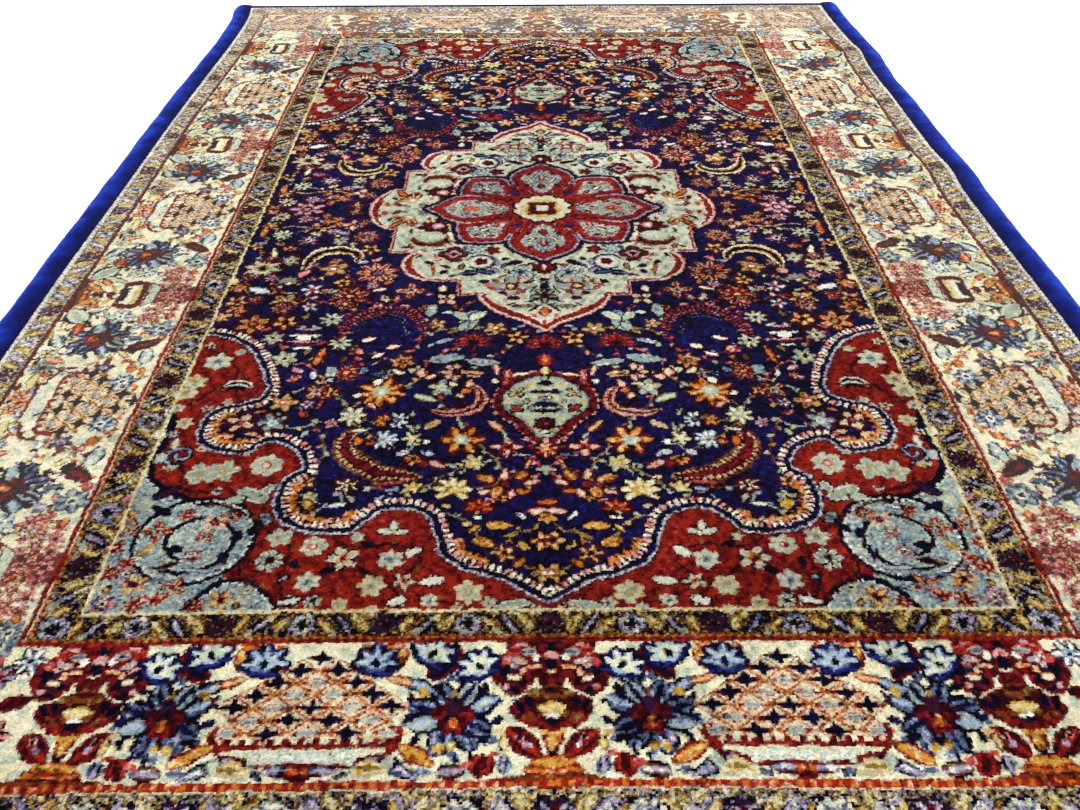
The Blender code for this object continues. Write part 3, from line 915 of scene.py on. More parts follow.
for x, y, length, width, turn, wools in (
    (0, 390, 16, 6, 0, "ink"), (0, 404, 34, 5, 0, "ink"), (0, 414, 14, 6, 0, "plum lilac"),
    (0, 424, 28, 9, 0, "ink navy"), (0, 435, 32, 5, 0, "ink"),
    (13, 429, 9, 5, 40, "steel sky"), (0, 468, 12, 6, 0, "ivory"), (14, 462, 8, 5, 60, "rose"),
    (0, 380, 12, 8, 90, "sage straw"), (18, 420, 8, 5, 80, "sage"),
    (26, 374, 28, 7, 12, "crimson cream"), (38, 374, 22, 10, 80, "rose red pink"),
    (49, 366, 24, 7, 100, "rose shell"), (50, 386, 9, 9, 0, "cream"), (40, 388, 14, 8, 60, "crimson rose"),
    (17, 478, 12, 6, 20, "cream rose"), (0, 481, 12, 9, 90, "crimson pink"), (14, 490, 9, 7, 0, "red"),
    (47, 459, 26, 10, 130, "umber sand peach"), (37, 474, 16, 4, 110, "sage"),
    (108, 457, 24, 11, 40, "olive sand pink"), (80, 456, 20, 5, 100, "olive sage"),
    (118, 414, 30, 13, -28, "olive sage mist"), (76, 390, 14, 11, 60, "rose shell"),
    (92, 391, 16, 8, 0, "sand cream"),
    (79, 402, 12, 12, 0, "umber orange"), (85, 411, 14, 10, 60, "rose shell"),
    (84, 422, 22, 12, 120, "maroon ink"), (70, 371, 22, 8, 170, "umber sand"),
    (125, 370, 20, 13, 90, "rose shell"),
    (116, 378, 14, 9, 30, "rose shell"), (150, 368, 18, 11, 150, "olive cream"),
    (166, 371, 26, 3, 0, "steel"), (166, 376, 22, 3, 0, "steel"), (167, 386, 14, 11, 60, "ivory"),
    (170, 426, 14, 9, 140, "rose shell"), (186, 408, 10, 8, 0, "cream"), (79, 490, 5, 5, 0, "ink"),
    (22, 502, 22, 4, 0, "steel lilac"), (112, 483, 9, 8, 0, "ivory"),
    (164, 484, 11, 8, 0, "umber orange"), (108, 499, 18, 10, 160, "steel ivory sky"),
    (133, 499, 18, 10, 20, "steel ivory sky"), (100, 516, 20, 11, 150, "crimson shell pink"),
    (112, 515, 11, 9, 0, "crimson red"),
    (52, 511, 14, 5, 30, "sage"), (76, 526, 14, 4, 60, "sage"), (22, 530, 18, 14, 60, "umber orange gold"),
    (37, 530, 18, 9, 90, "rose shell"), (54, 535, 22, 13, 160, "umber gold orange"),
    (14, 540, 16, 9, 20, "rose shell"), (22, 552, 20, 9, 0, "umber orange"),
    (31, 555, 16, 9, 70, "rose shell"), (44, 553, 20, 15, 70, "umber gold orange"),
    (56, 553, 13, 7, 20, "rose shell"),
    (36, 543, 12, 12, 0, "maroon crimson"), (16, 515, 18, 5, 70, "umber peach"),
    (136, 550, 14, 7, 20, "steel lilac"), (146, 560, 10, 5, 60, "steel sky"),
    (184, 570, 18, 8, 10, "steel ivory"),
    (172, 562, 14, 6, 120, "olive sage"), (59, 586, 13, 6, 0, "ivory"),
    (23, 583, 16, 6, 130, "steel ivory"), (0, 566, 22, 10, 0, "crimson orange"),
    (8, 577, 22, 9, 15, "rose shell"), (88, 572, 10, 6, 0, "sand"),
    (128, 440, 14, 5, 100, "olive sage"), (122, 462, 14, 5, 80, "olive sage"),
    (138, 392, 14, 5, 40, "olive sage"), (176, 482, 16, 12, 80, "red orange"),
    (176, 465, 22, 5, 8, "mist cream"), (140, 541, 40, 6, 5, "umber rose"),
):
    leaf(
        x, y, 0.86 * length + 3, 0.84 * width + 2.5, turn,
        ("maroon" if wools.startswith(("crimson", "rose", "umber")) else "ink", 1),
    )
    leaf(x, y, 0.86 * length, 0.84 * width, turn, *strips(wools, (1, 0.66, 0.34)))
leaf(0, 349, 24, 18, 90, ("crimson", 1), ("red", 0.7), ("orange", 0.3))
leaf(0, 368, 14, 12, 90, ("olive", 1), ("straw", 0.6))

# ---------------------------------------------------------------- pattern: medallion
# The pale scalloped medallion in the middle of the field, with a red and pink outline, filled with
# small flowers round the rosette.

lobes = (
    [(0, 293), (18, 276), (40, 263), (60, 246), (71, 228), (73, 216)],
    [(138, 184), (158, 170), (168, 146), (163, 126), (152, 116)],
    [(198, 56), (212, 42), (221, 22), (224, 0)],
)
steps = ([(73, 216), (98, 216)], [(98, 216), (98, 185)], [(98, 185), (138, 184)],
         [(152, 116), (186, 116)], [(186, 116), (186, 56)], [(186, 56), (198, 56)])
outline = trail(lobes[0], *steps[:3], lobes[1], *steps[3:], lobes[2])
medallion = within(
    np.vstack([outline, outline[::-1] * (1, -1), outline * (-1, -1), outline[::-1] * (-1, 1)])
)
away, at = follow(outline, 10)
tie((away < 3.6) & ~medallion, "ink")
tie((away < 2.2) & ~medallion, "pink")
tie(medallion, "frost")
patches = np.sin(X * 0.31 + 0.5) * np.sin(Y * 0.27 + 0.2 * X)
tie(medallion & (patches > 0.15), "mist")
tie(medallion & (patches > 0.75), "sage")
tie(medallion & (patches < -0.6), "cream")
for step in steps:
    away, _ = follow(trail(step), 6)
    tie(medallion & (away < 2.6), "red")
for number, lobe in enumerate(lobes):
    line = trail(lobe)
    away, at = follow(line, 14)
    share = at / (len(line) * 0.5)
    if number == 0:
        share = 0.5 + share / 2
    if number == 2:
        share = share / 2
    rim = 11.0 * np.sin(np.pi * np.clip(share, 0, 1)) ** 0.45
    if number == 0:
        rim = 4.5 + 7 * np.sin(np.pi * np.clip(at / (len(line) * 0.5), 0, 1)) ** 0.7
    if number == 2:
        rim = 10.5 * np.clip(share * 2, 0, 1) ** 0.5
    tie(medallion & (away < rim + 2.2), "ivory")
    tie(medallion & (away < rim), "red")
    tie(medallion & (away < 2.2), "ivory")

# its flowers
for x, y, size, turn, count, span, width, wools, heart in (
    (38, 198, 24, 45, 4, 360, 0.8, "umber lilac sage", "crimson straw"),
    (0, 219, 18, 90, 5, 360, 0.6, "ink maroon sage", "crimson ink"),
    (133, 48, 22, -20, 5, 360, 0.7, "plum crimson maroon", "pink ivory"),
    (111, 48, 13, 100, 5, 300, 0.6, "rose ivory straw", ""),
    (172, 24, 24, 60, 5, 150, 0.34, "crimson red straw", "sand ivory"),
    (80, 108, 14, 90, 7, 360, 0.5, "ink sky mist", "mist sky"),
    (28, 166, 15, 30, 6, 360, 0.5, "ink sky mist", "steel ink"),
    (14, 180, 12, 0, 5, 360, 0.6, "ink mist", "sage ink"),
    (62, 111, 11, 0, 5, 360, 0.7, "maroon crimson", "red maroon"),
    (152, 10, 12, 0, 5, 200, 0.5, "ink sky mist", "rose ink"),
    (118, 90, 9, 40, 5, 360, 0.5, "plum rose", "ink"), (56, 186, 9, 0, 4, 360, 0.6, "rose sage", "umber"),
    (146, 30, 10, 0, 5, 360, 0.5, "sand ivory", "rose"),
):
    spray(x, y, size, turn, count, span, width, wools, heart)
curl(76, 141, 17, 40, 300, 5, ("steel", 1), ("ink", 0.5), taper=0.3)
flower(76, 141, 15, 6, ("sage", 1), ("ivory", 0.9), ("frost", 0.6), notch=0.1)
flower(75, 140, 9, 5, ("rose", 1), ("maroon", 0.85), ("crimson", 0.4))
flower(
    109, 121, 19, 4, ("plum", 1), ("crimson", 0.86), ("maroon", 0.66), ("pink", 0.5), ("ink", 0.28), turn=0,
    notch=0.34,
)
leaves([
    (69, 165, 26, 12, -15, "ink blue steel"), (88, 167, 22, 15, 10, "ink navy steel"),
    (98, 152, 18, 8, 80, "ink olive"),
    (187, 44, 24, 12, 50, "crimson orange"), (190, 12, 16, 8, 60, "ink rose"), (196, 30, 12, 6, 60, "ink"),
    (204, 12, 12, 8, 100, "rose"),
    (152, 53, 18, 10, 0, "maroon crimson"), (116, 74, 22, 11, 100, "rose ivory"),
    (104, 90, 12, 9, 20, "ink maroon"), (160, 86, 13, 9, 90, "maroon crimson"),
    (162, 103, 13, 8, 100, "plum rose"), (35, 143, 24, 10, 30, "maroon ink"),
    (24, 149, 14, 7, 10, "crimson rose"), (47, 134, 9, 8, 0, "ink"),
    (48, 150, 18, 6, 60, "ink steel"), (57, 142, 22, 7, 100, "plum lilac"),
    (58, 160, 16, 8, 140, "plum lilac"), (44, 164, 16, 7, 100, "ink sage"),
    (70, 187, 13, 9, 20, "ink"), (66, 195, 10, 6, 20, "rose"), (47, 213, 10, 8, 0, "maroon"),
    (27, 210, 12, 7, 60, "umber rose"), (19, 189, 12, 7, 30, "umber maroon"),
    (60, 202, 13, 6, 130, "umber rose"),
    (35, 224, 16, 10, 0, "maroon"), (25, 242, 24, 10, 0, "olive ink steel"),
    (2, 198, 20, 7, 90, "steel ink"), (13, 205, 20, 5, 60, "sage ink"), (0, 184, 12, 8, 0, "crimson ink"),
    (14, 230, 18, 5, 20, "steel ink"), (8, 238, 14, 4, 150, "steel"),
    (0, 254, 20, 14, 90, "crimson orange"), (11, 246, 20, 6, 50, "olive ink"),
    (12, 262, 10, 5, 120, "rose"), (38, 238, 12, 5, 40, "sage ink"),
    (0, 276, 10, 5, 90, "rose"), (117, 151, 15, 7, 150, "ink maroon"), (118, 165, 12, 8, 60, "maroon ink"),
    (137, 142, 12, 8, 150, "ink"), (131, 160, 34, 5, 98, "crimson orange"), (126, 136, 12, 4, 20, "rose"),
    (104, 172, 16, 5, 20, "ink umber"), (100, 138, 10, 5, 60, "sage ink"), (92, 120, 18, 5, 0, "ink steel"),
    (96, 106, 18, 5, 80, "ink steel"), (128, 110, 16, 5, 10, "sage ink"), (146, 112, 12, 5, 150, "rose"),
    (150, 126, 12, 5, 60, "ink"), (130, 126, 13, 5, 120, "orange rose"), (166, 62, 14, 6, 90, "sage ink"),
    (168, 84, 10, 6, 90, "sage"), (170, 104, 12, 5, 20, "ink"), (166, 44, 14, 6, 40, "ink rose"),
    (142, 70, 12, 5, 20, "ink"), (122, 64, 14, 6, 60, "ink plum"), (126, 100, 14, 5, 30, "ink rose"),
    (136, 8, 16, 6, 20, "maroon sky"), (180, 8, 14, 5, 0, "ink sage"), (212, 22, 10, 5, 70, "rose"),
    (94, 96, 16, 5, 0, "straw sage"), (40, 122, 16, 6, 110, "straw sage"), (50, 176, 14, 5, 40, "sage ink"),
    (82, 184, 14, 4, 10, "sage"), (30, 180, 10, 5, 90, "rose"),
], (1, 0.56, 0.28))
tie((X < 15) & (np.abs(Y - 155) < 9) | (X < 8) & (np.abs(Y - 155) < 14), "maroon")
tie((X < 12) & (np.abs(Y - 155) < 7), "crimson")
leaf(0, 154, 14, 7, 90, ("rose", 1), ("ivory", 0.5))
leaf(16, 146, 10, 5, 30, ("ink", 1))
area, ahead, side = turned(141, 88, 30, 90)
hood = np.hypot(side / 23, (ahead + 4) / 18)
tie((hood < 1) & (ahead > -9), "umber", area)
tie((hood < 0.92) & (ahead > -9), "crimson", area)
tie(np.hypot(side / 19, (ahead + 9) / 14) < 1, "olive", area)
tie(np.hypot(side / 18, (ahead + 11) / 13) < 1, "mist", area)
tie(np.hypot(side / 13, (ahead + 12) / 8) < 1, "frost", area)
leaf(121, 84, 10, 5, 80, ("ink", 1))

# ---------------------------------------------------------------- pattern: centre rosette
# Eight grey petals rimmed in red round a pale flower, outlined in lilac and dark wool. It sits in the
# very middle of the rug.

def mirrored(places, across_x):
    """A closed line from half of it and its mirror image."""
    half = trail(places)
    return np.vstack([half, half[::-1] * ((-1, 1) if across_x else (1, -1))])


top = mirrored(
    [(0, 138), (14, 127), (30, 116), (40, 103), (43, 88), (38, 72), (30, 60), (24, 46), (12, 34), (0, 30)],
    True,
)
side_petal = mirrored(
    [(152, 0), (136, 14), (124, 28), (108, 37), (90, 38), (74, 34), (60, 28), (46, 22), (34, 12), (30, 0)],
    False,
)
corner = trail(
    [(34, 40), (43, 70), (50, 87), (72, 92), (98, 90)],
    [(98, 90), (105, 74), (109, 56), (109, 39)],
    [(109, 39), (90, 38), (60, 28), (40, 30)],
)
petals = []
for line, red in ((corner, 12), (side_petal, 13), (top, 15)):
    petals.append((*follow(line, 30), within(line), red, red + 2))
middle = np.hypot(X, Y) < 80
rosette = middle | petals[0][2] | petals[1][2] | petals[2][2]
for away, *_ in petals:
    tie((away < 7.4) & ~rosette, "plum")
for away, *_ in petals:
    tie((away < 4.6) & ~rosette, "ink")
tie(middle, "red")
tie(middle & (np.sin(X * 0.31 + Y * 0.2) * np.sin(Y * 0.37 - X * 0.1) > 0.2), "crimson")
for away, at, petal, red, light in petals:
    tie(petal & (away < 3), "maroon")
    tie((petal & ~middle) | (away < 1.4) & ~middle, "lilac")
    tie(petal & (away > 1.4), "red")
    tie(petal & (away > 3.2) & (away < 6.2) & (np.sin(at * 0.7) > 0.1), "crimson")
    tie(petal & (away > red), "lilac")
    tie(petal & (away > light), "mist")
    flecks = np.sin(X * 0.52 + Y * 0.35) * np.sin(Y * 0.48 - 0.4 * X)
    for low, high, wool in (
        (0.10, 0.30, "sage"), (0.44, 0.5, "ink"), (-0.34, -0.16, "steel"), (-0.7, -0.5, "sky"),
        (0.8, 1, "crimson"), (-1, -0.86, "plum"),
    ):
        tie(petal & (away > light + 0.6) & (flecks > low) & (flecks <= high), wool)
leaves([
    (92, 0, 24, 15, 0, "rose orange"), (118, 0, 14, 8, 0, "crimson pink"),
    (66, 0, 14, 10, 0, "maroon pink"), (100, 14, 16, 7, 20, "crimson pink"),
    (0, 92, 22, 9, 90, "crimson pink"), (0, 112, 12, 8, 90, "plum sky"), (0, 66, 16, 12, 90, "maroon red"),
    (14, 84, 15, 7, 60, "crimson ivory"),
    (16, 104, 12, 6, 130, "crimson"), (20, 68, 12, 6, 110, "plum"), (74, 58, 14, 9, 40, "crimson ivory"),
    (60, 46, 12, 9, 60, "maroon rose"),
    (54, 64, 12, 7, 110, "crimson pink"), (84, 72, 12, 6, 30, "plum rose"), (80, 46, 11, 6, 80, "crimson"),
    (66, 74, 11, 6, 10, "plum"),
    (35, 48, 16, 10, 0, "ink blue"), (30, 60, 12, 6, 70, "pink crimson"),
    (48, 38, 12, 6, 20, "pink crimson"), (58, 12, 16, 8, 20, "maroon pink"),
    (84, 20, 14, 6, 150, "plum rose"), (48, 12, 14, 7, 40, "plum rose"), (16, 48, 12, 7, 60, "plum rose"),
], (1, 0.5))
flower(0, 0, 41, 12, ("ink", 1), ("cream", 0.92), ("straw", 0.66), turn=15, notch=0.16)
area = near(0, 0, 40)
square = np.maximum(X[area], Y[area])
tie((square < 19) & (np.abs(X[area] - Y[area]) < 16), "gold", area)
tie(square < 16.5, "crimson", area)
tie((square > 7.5) & (square < 9.5) & (np.abs(X[area] - Y[area]) > 5), "ink", area)
tie(square < 7.5, "ivory", area)

# ---------------------------------------------------------------- pattern: corners of the field
# The red corners of the field, cut off by a beaded scalloped edge, with pale flowers on dark stems and
# a grey-green scrolled piece in the very corner.

edge = trail(
    [(366, 292), (340, 297), (314, 312), (297, 334)],
    [
        (297, 334), (288, 352), (278, 376), (272, 399), (277, 416), (293, 426), (314, 433), (323, 450),
        (322, 474), (308, 489), (280, 494), (272, 484),
    ],
    [(272, 484), (262, 476), (246, 478), (227, 492), (217, 510), (217, 524), (230, 537)],
    [(230, 537), (233, 566), (222, 588), (197, 599), (170, 598), (160, 587)],
    [(160, 587), (144, 571), (118, 570), (98, 582), (89, 606), (81, 630), (60, 645), (34, 654), (0, 677)],
)
corner_ground = within(np.vstack([edge, [(0, 700), (380, 700), (380, 292)]])) & field
away, at = follow(edge, 16)
signed = np.where(corner_ground, away, -away)
tie(corner_ground, "red")
grain = np.sin(X * 0.35 + Y * 1.1) * np.sin(Y * 0.9)
tie(corner_ground & (grain > 0.55), "crimson")
heading = np.unwrap(np.arctan2(*np.gradient(edge, axis=0).T[::-1]))
turning = np.convolve(np.gradient(heading), np.ones(61) / 61, mode="same")
hollow = turning[np.minimum((at * 2).astype(int), len(turning) - 1)]
beside = field & (away < 16)
tie(beside & (signed < 8.2) & (signed > -8.6), "ink")
tie(beside & (signed < 7.2) & (signed > 4.6), "lilac")
tie(beside & (signed < 7.2) & (signed > 4.6) & (np.sin(at * 1.0) > 0.3), "ivory")
tie(beside & (signed < 4.6) & (signed > 0.4), "navy")
beads = beside & (signed < -0.4) & (signed > -7.6) & (np.sin(at * 1.02) > -0.62)
tie(beads, "ivory")
tie(beads & (np.sin(at * 0.31 + X * 0.05) > 0.2), "pink")
tie(beads & (np.sin(at * 1.02) < -0.2), "rose")
tie(beads & (signed > -1.8), "cream")
fringe = beside & (signed < -7.6) & (signed > -13.5 + 2.2 * np.sin(at * 0.5)) & (hollow > 0.003)
tie(fringe, "orange")
tie(fringe & (np.sin(at * 0.5) > 0.1), "gold")
tie(fringe & (signed < -11) & (np.sin(at * 0.9) > 0.4), "crimson")

# teal corner
shore = trail(
    [(366, 430), (357, 455), (358, 490), (360, 515), (352, 536), (334, 550), (314, 562), (298, 566)]
)
teal_shape = within(
    np.vstack([shore, [(298, 566), (270, 600), (262, 652), (256, 664), (300, 700), (380, 700), (380, 430)]])
)
from_disc = np.hypot(X - 296, Y - 610)
half_leaf = trail([(290, 700), (282, 680), (268, 664), (256, 658), (238, 662), (222, 676), (212, 692)])
away_shore, at_shore = follow(shore, 8)
away_leaf, _ = follow(half_leaf, 8)
in_leaf = within(half_leaf) & field
teal_ground = (teal_shape | (from_disc < 50) | in_leaf) & corner_ground & field & (signed > 8)
tie(teal_ground, "teal")
tie((away_shore < 4.6) & corner_ground & field, "ink")
tie((away_shore < 4.6) & (away_shore > 2.4) & teal_shape & (np.sin(at_shore * 0.9) > -0.5), "ivory")
tie((np.abs(from_disc - 50.5) < 2.0) & corner_ground, "ink")
tie((np.abs(from_disc - 47) < 1.2) & (np.sin(np.arctan2(Y - 610, X - 296) * 44) > -0.4), "ivory")
tie((away_leaf < 3.2) & field, "ink")
tie((away_leaf < 3.6) & (away_leaf > 1.6) & in_leaf & (np.sin(X * 0.9) > -0.5), "ivory")
flow = np.sin(X * 0.20 + Y * 1.05 + 1.6 * np.sin(Y * 0.11)) * np.sin(X * 0.45 + 1)
still_teal = teal_ground & (chart == WOOL_NUMBERS["teal"])
for low, high, wool in (
    (0.35, 0.62, "sky"), (0.62, 1.0, "mist"), (-0.62, -0.4, "steel"), (-1.0, -0.62, "sage"),
    (-0.06, 0.02, "sage"),
):
    tie(still_teal & (flow > low) & (flow <= high), wool)
# spiral
angle = np.linspace(0, 1.05 * 2 * np.pi, 700)
spin = 21 + 17 * (angle / angle[-1]) ** 1.3
draw(
    np.stack([296 + spin * np.cos(1.2 - angle) * 1.05, 612 + spin * np.sin(1.2 - angle)], -1), ("ink", 2.4)
)
draw(
    np.stack(
        [296 + (spin - 2.6) * np.cos(1.2 - angle) * 1.05, 612 + (spin - 2.6) * np.sin(1.2 - angle)], -1
    ),
    ("mist", 0.8),
)
angle = np.linspace(0, 1.35 * 2 * np.pi, 260)
spin = 3 + 12 * (angle / angle[-1])
hook = np.stack([337 + spin * np.cos(-0.4 + angle), 501 + spin * np.sin(-0.4 + angle)], -1)
draw(hook, ("ink", 3.2), ("sky", 1.2))
leaves([
    (310, 621, 15, 11, 10, "ink"), (336, 552, 30, 12, 40, "ink plum"), (334, 574, 24, 9, -30, "ink"),
    (262, 606, 10, 22, 0, "plum ink"), (272, 580, 16, 7, 40, "ink steel"),
    (268, 632, 16, 7, 120, "ink plum"), (286, 646, 34, 6, 0, "ink sky"), (312, 640, 22, 8, 20, "umber ink"),
    (334, 622, 16, 8, 60, "olive gold"),
    (296, 656, 26, 4, 0, "steel"), (318, 655, 22, 4, 0, "steel"), (276, 668, 16, 4, 10, "steel"),
    (306, 668, 14, 4, 0, "sky"), (350, 566, 14, 22, 0, "sage mist"),
    (346, 484, 16, 8, 90, "mist ivory"), (354, 505, 9, 24, 0, "sky mist"),
    (364, 470, 10, 20, 0, "mist ivory"), (300, 574, 22, 4, 10, "steel ivory"),
], (1, 0.55))
for x, y, size, kind, turn in (
    (330, 600, 13, "red cross", 45), (284, 590, 12, "cross", 0), (272, 584, 10, "red cross", 20),
    (310, 580, 8, "red", 0), (289, 607, 8, "red cross", 0),
    (294, 628, 9, "plum", 0), (300, 664, 12, "red cross", 20), (310, 680, 12, "bud", -90),
    (332, 660, 12, "orange", 0), (352, 664, 10, "pale bud", 0),
    (350, 680, 12, "plum", 20), (326, 682, 10, "red", 0), (362, 582, 11, "orange", 0),
    (354, 598, 10, "red cross", 10), (360, 618, 9, "red", 0), (348, 636, 11, "bud", 160),
    (356, 646, 9, "red", 0), (342, 648, 9, "plum", 0), (258, 678, 12, "orange", 30),
    (244, 684, 10, "pale bud", -90), (240, 668, 8, "sage", 0), (342, 522, 9, "pale bud", -90),
    (278, 684, 9, "red", 0), (366, 560, 8, "pink", 0),
):
    count, span, width, wools, heart = FLOWERS[kind]
    spray(x, y, size, turn, count, span, width, wools, heart)
tie((np.abs(away_leaf) < 1.6) & field, "ink")

# dark stems on the red ground
for places in (
    [(222, 600), (214, 625), (216, 660), (206, 690)],
    [(110, 620), (106, 640), (120, 660), (100, 676), (76, 684)],
    [(300, 560), (270, 575), (248, 590), (232, 606)], [(160, 640), (146, 652), (130, 664), (118, 676)],
    [(330, 520), (322, 545), (300, 552)],
    [(246, 622), (250, 650), (226, 668), (214, 684)],
    [(345, 330), (322, 352), (312, 376), (330, 400), (350, 425)],
    [(180, 612), (160, 622), (130, 618), (112, 626)],
):
    vine(places, "maroon", "crimson umber", every=15, leaf_length=6, half=1.2)
# flowers on the red ground
for x, y, size, kind, turn in (
    (312, 527, 19, "moon", 0), (292, 523, 19, "moon", 40), (255, 516, 20, "ring", 0),
    (225, 610, 15, "moon", 0), (195, 620, 15, "ring", 20),
    (229, 636, 16, "hollow", 0), (169, 635, 18, "snow", 0), (130, 636, 15, "frost", 0),
    (194, 660, 14, "frost", 0), (142, 665, 15, "dew", 30),
    (64, 672, 16, "dew", 0), (160, 610, 8, "moon", 0), (111, 627, 8, "snow", 20), (94, 660, 9, "snow", 0),
    (117, 660, 12, "snow", 30),
    (204, 680, 10, "snow", 0), (187, 681, 10, "hollow", 0), (165, 684, 9, "dew", 0),
    (120, 682, 8, "snow", 0), (94, 681, 9, "frost", 0),
    (47, 683, 9, "moon", 0), (30, 687, 10, "frost", 0), (12, 690, 8, "snow", 0), (72, 688, 7, "moon", 0),
    (140, 690, 7, "dew", 0),
    (337, 350, 19, "frost", 0), (352, 386, 16, "dew", 0), (356, 405, 15, "dew", 40),
    (345, 453, 12, "dew", 20), (358, 430, 9, "frost", 0),
    (352, 320, 9, "snow", 0), (318, 332, 8, "moon", 0), (330, 430, 8, "snow", 0), (312, 420, 7, "moon", 20),
    (352, 470, 8, "hollow", 0),
    (292, 550, 6, "hollow", 0), (320, 492, 7, "snow", 0), (276, 500, 6, "moon", 0),
    (246, 548, 8, "moon", 0), (182, 592, 7, "snow", 0),
):
    count, petal_wools, heart = {
        "moon": (5, "shell mist sage", "sage gold"), "ring": (7, "shell mist", "rose cream"),
        "hollow": (7, "ink ivory sage", "maroon ink"),
        "snow": (5, "ink frost shell", "orange crimson"), "frost": (6, "shell mist frost", "teal steel"),
        "dew": (6, "shell straw mist", "sage gold"),
    }[kind]
    spray(x, y, 0.8 * size, turn, count, 360, 0.7, petal_wools, heart)
leaves([
    (259, 556, 34, 17, -30, "ivory sage"), (272, 562, 20, 10, 10, "mist"),
    (247, 548, 16, 9, 60, "ivory sage"), (242, 587, 9, 26, 20, "ink sage steel"),
    (111, 627, 16, 9, 40, "ivory"), (94, 660, 22, 10, 10, "ivory"), (205, 681, 18, 9, 20, "ink ivory"),
    (120, 681, 16, 8, 20, "ivory"), (30, 685, 32, 9, 10, "ivory sage"),
    (250, 600, 12, 5, 60, "ink"), (214, 656, 10, 5, 40, "ink sky"), (180, 648, 12, 5, 20, "ink"),
    (150, 618, 12, 5, 160, "ink"), (207, 640, 10, 5, 80, "ink"),
], (1, 0.6, 0.3), outline=2.5)
# white trefoil
for x, y, turn in ((131, 597, 90), (125, 604, 20), (137, 604, 160)):
    leaf(x, y, 14, 9, turn, ("ink", 1), ("frost", 0.7))
# eye of the upper spandrel
curl(308, 402, 15, 200, 150, 9, ("ivory", 1), ("ink", 0.45))
curl(308, 404, 9, 190, 160, 7, ("ink", 1))
frame_line(FIELD_X, FIELD_Y - 1, 1.9, "straw", "frost")

# ---------------------------------------------------------------- rug body: the pile
# Cut wool pile, 9 mm high over the floor, one knot to each cell of the chart. It is laid as seven closed
# panels that meet on the border lines, and every knot stands a little off its place and height.

RUG_WIDTH, RUG_LENGTH = 1.200, 1.800
EDGING_WIDTH, SEAM_GAP, MOST_SWELL = 0.0350, 0.0003, 0.0040
PILE_TOP, PILE_END = 0.0090, 0.8895
GROUND_TOP = 0.0040
# at, out and reach of each swell of the left and right side, as the rug lies
SWELLS = {
    -1: ((0.690, -0.0070, 0.210), (0.910, 0.0085, 0.060), (-0.150, 0.0020, 0.160)),
    1: ((0.840, -0.0055, 0.130), (0.610, 0.0040, 0.040), (0.480, -0.0030, 0.050),
        (0.114, 0.0045, 0.045), (-0.240, 0.0025, 0.140)),
}
# x, y, height, and reach in x and y of each place where the rug doesn't lie quite flat
LIFTS = (
    (0.520, 0.610, 0.0016, 0.10, 0.030), (0.520, 0.480, 0.0014, 0.12, 0.026),
    (0.540, 0.114, 0.0012, 0.09, 0.035),
    (-0.530, 0.300, 0.0010, 0.08, 0.090), (-0.250, -0.450, 0.0008, 0.22, 0.180),
    (0.300, -0.150, 0.0008, 0.20, 0.220),
)


def side_edge(side, y):
    """How far the rug's outer edge is from its middle line."""
    swell = sum(out * np.exp(-(((y - at) / reach) ** 2)) for at, out, reach in SWELLS[side])
    return RUG_WIDTH / 2 + np.minimum(swell, MOST_SWELL)


def unevenness(x, y):
    """How much higher than its plain thickness the rug is."""
    wave = np.sin(2 * np.pi * (0.9 * x + y) / 0.46) + np.sin(2 * np.pi * (x - 0.4 * y) / 0.31)
    return 0.0003 * wave + sum(
        height * np.exp(-(((x - at_x) / reach_x) ** 2) - ((y - at_y) / reach_y) ** 2)
        for at_x, at_y, height, reach_x, reach_y in LIFTS
    )


def laid(x, y):
    """Where a place of the flat rug comes to lie: near the sides it follows the swells."""
    part = np.clip((np.abs(x) - 0.40) / (0.565 - 0.40), 0, 1)
    bulge = np.where(x < 0, side_edge(-1, y), side_edge(1, y)) - RUG_WIDTH / 2
    return x + np.sign(x) * bulge * part**2 * (3 - 2 * part)


random = np.random.default_rng(7)
half_width = RUG_WIDTH / 2 - EDGING_WIDTH - SEAM_GAP
COLUMNS = 2 * round(half_width / (KNOT / 1000))
ROWS = 2 * round(PILE_END / (KNOT / 1000))
# each knot is tied in four tufts, two across and two down, which take their wool from the chart a
# little beside their true place, as a weaver counts by eye
tuft_x, tuft_y = np.meshgrid(
    (np.arange(2 * COLUMNS) + 0.5) / COLUMNS * half_width - half_width,
    (np.arange(2 * ROWS) + 0.5) / ROWS * PILE_END - PILE_END,
)


def wander(across, down):
    """A smooth random field over the tufts, of about -1 to 1, with so many places across and down."""
    coarse = random.uniform(-1, 1, (down + 1, across + 1))
    at_x = np.linspace(0, across, 2 * COLUMNS, endpoint=False)
    at_y = np.linspace(0, down, 2 * ROWS, endpoint=False)[:, None]
    left, low = at_x.astype(int), at_y.astype(int)
    part_x, part_y = at_x - left, at_y - low
    part_x, part_y = part_x**2 * (3 - 2 * part_x), part_y**2 * (3 - 2 * part_y)
    lower = coarse[low, left] * (1 - part_x) + coarse[low, left + 1] * part_x
    upper = coarse[low + 1, left] * (1 - part_x) + coarse[low + 1, left + 1] * part_x
    return lower * (1 - part_y) + upper * part_y


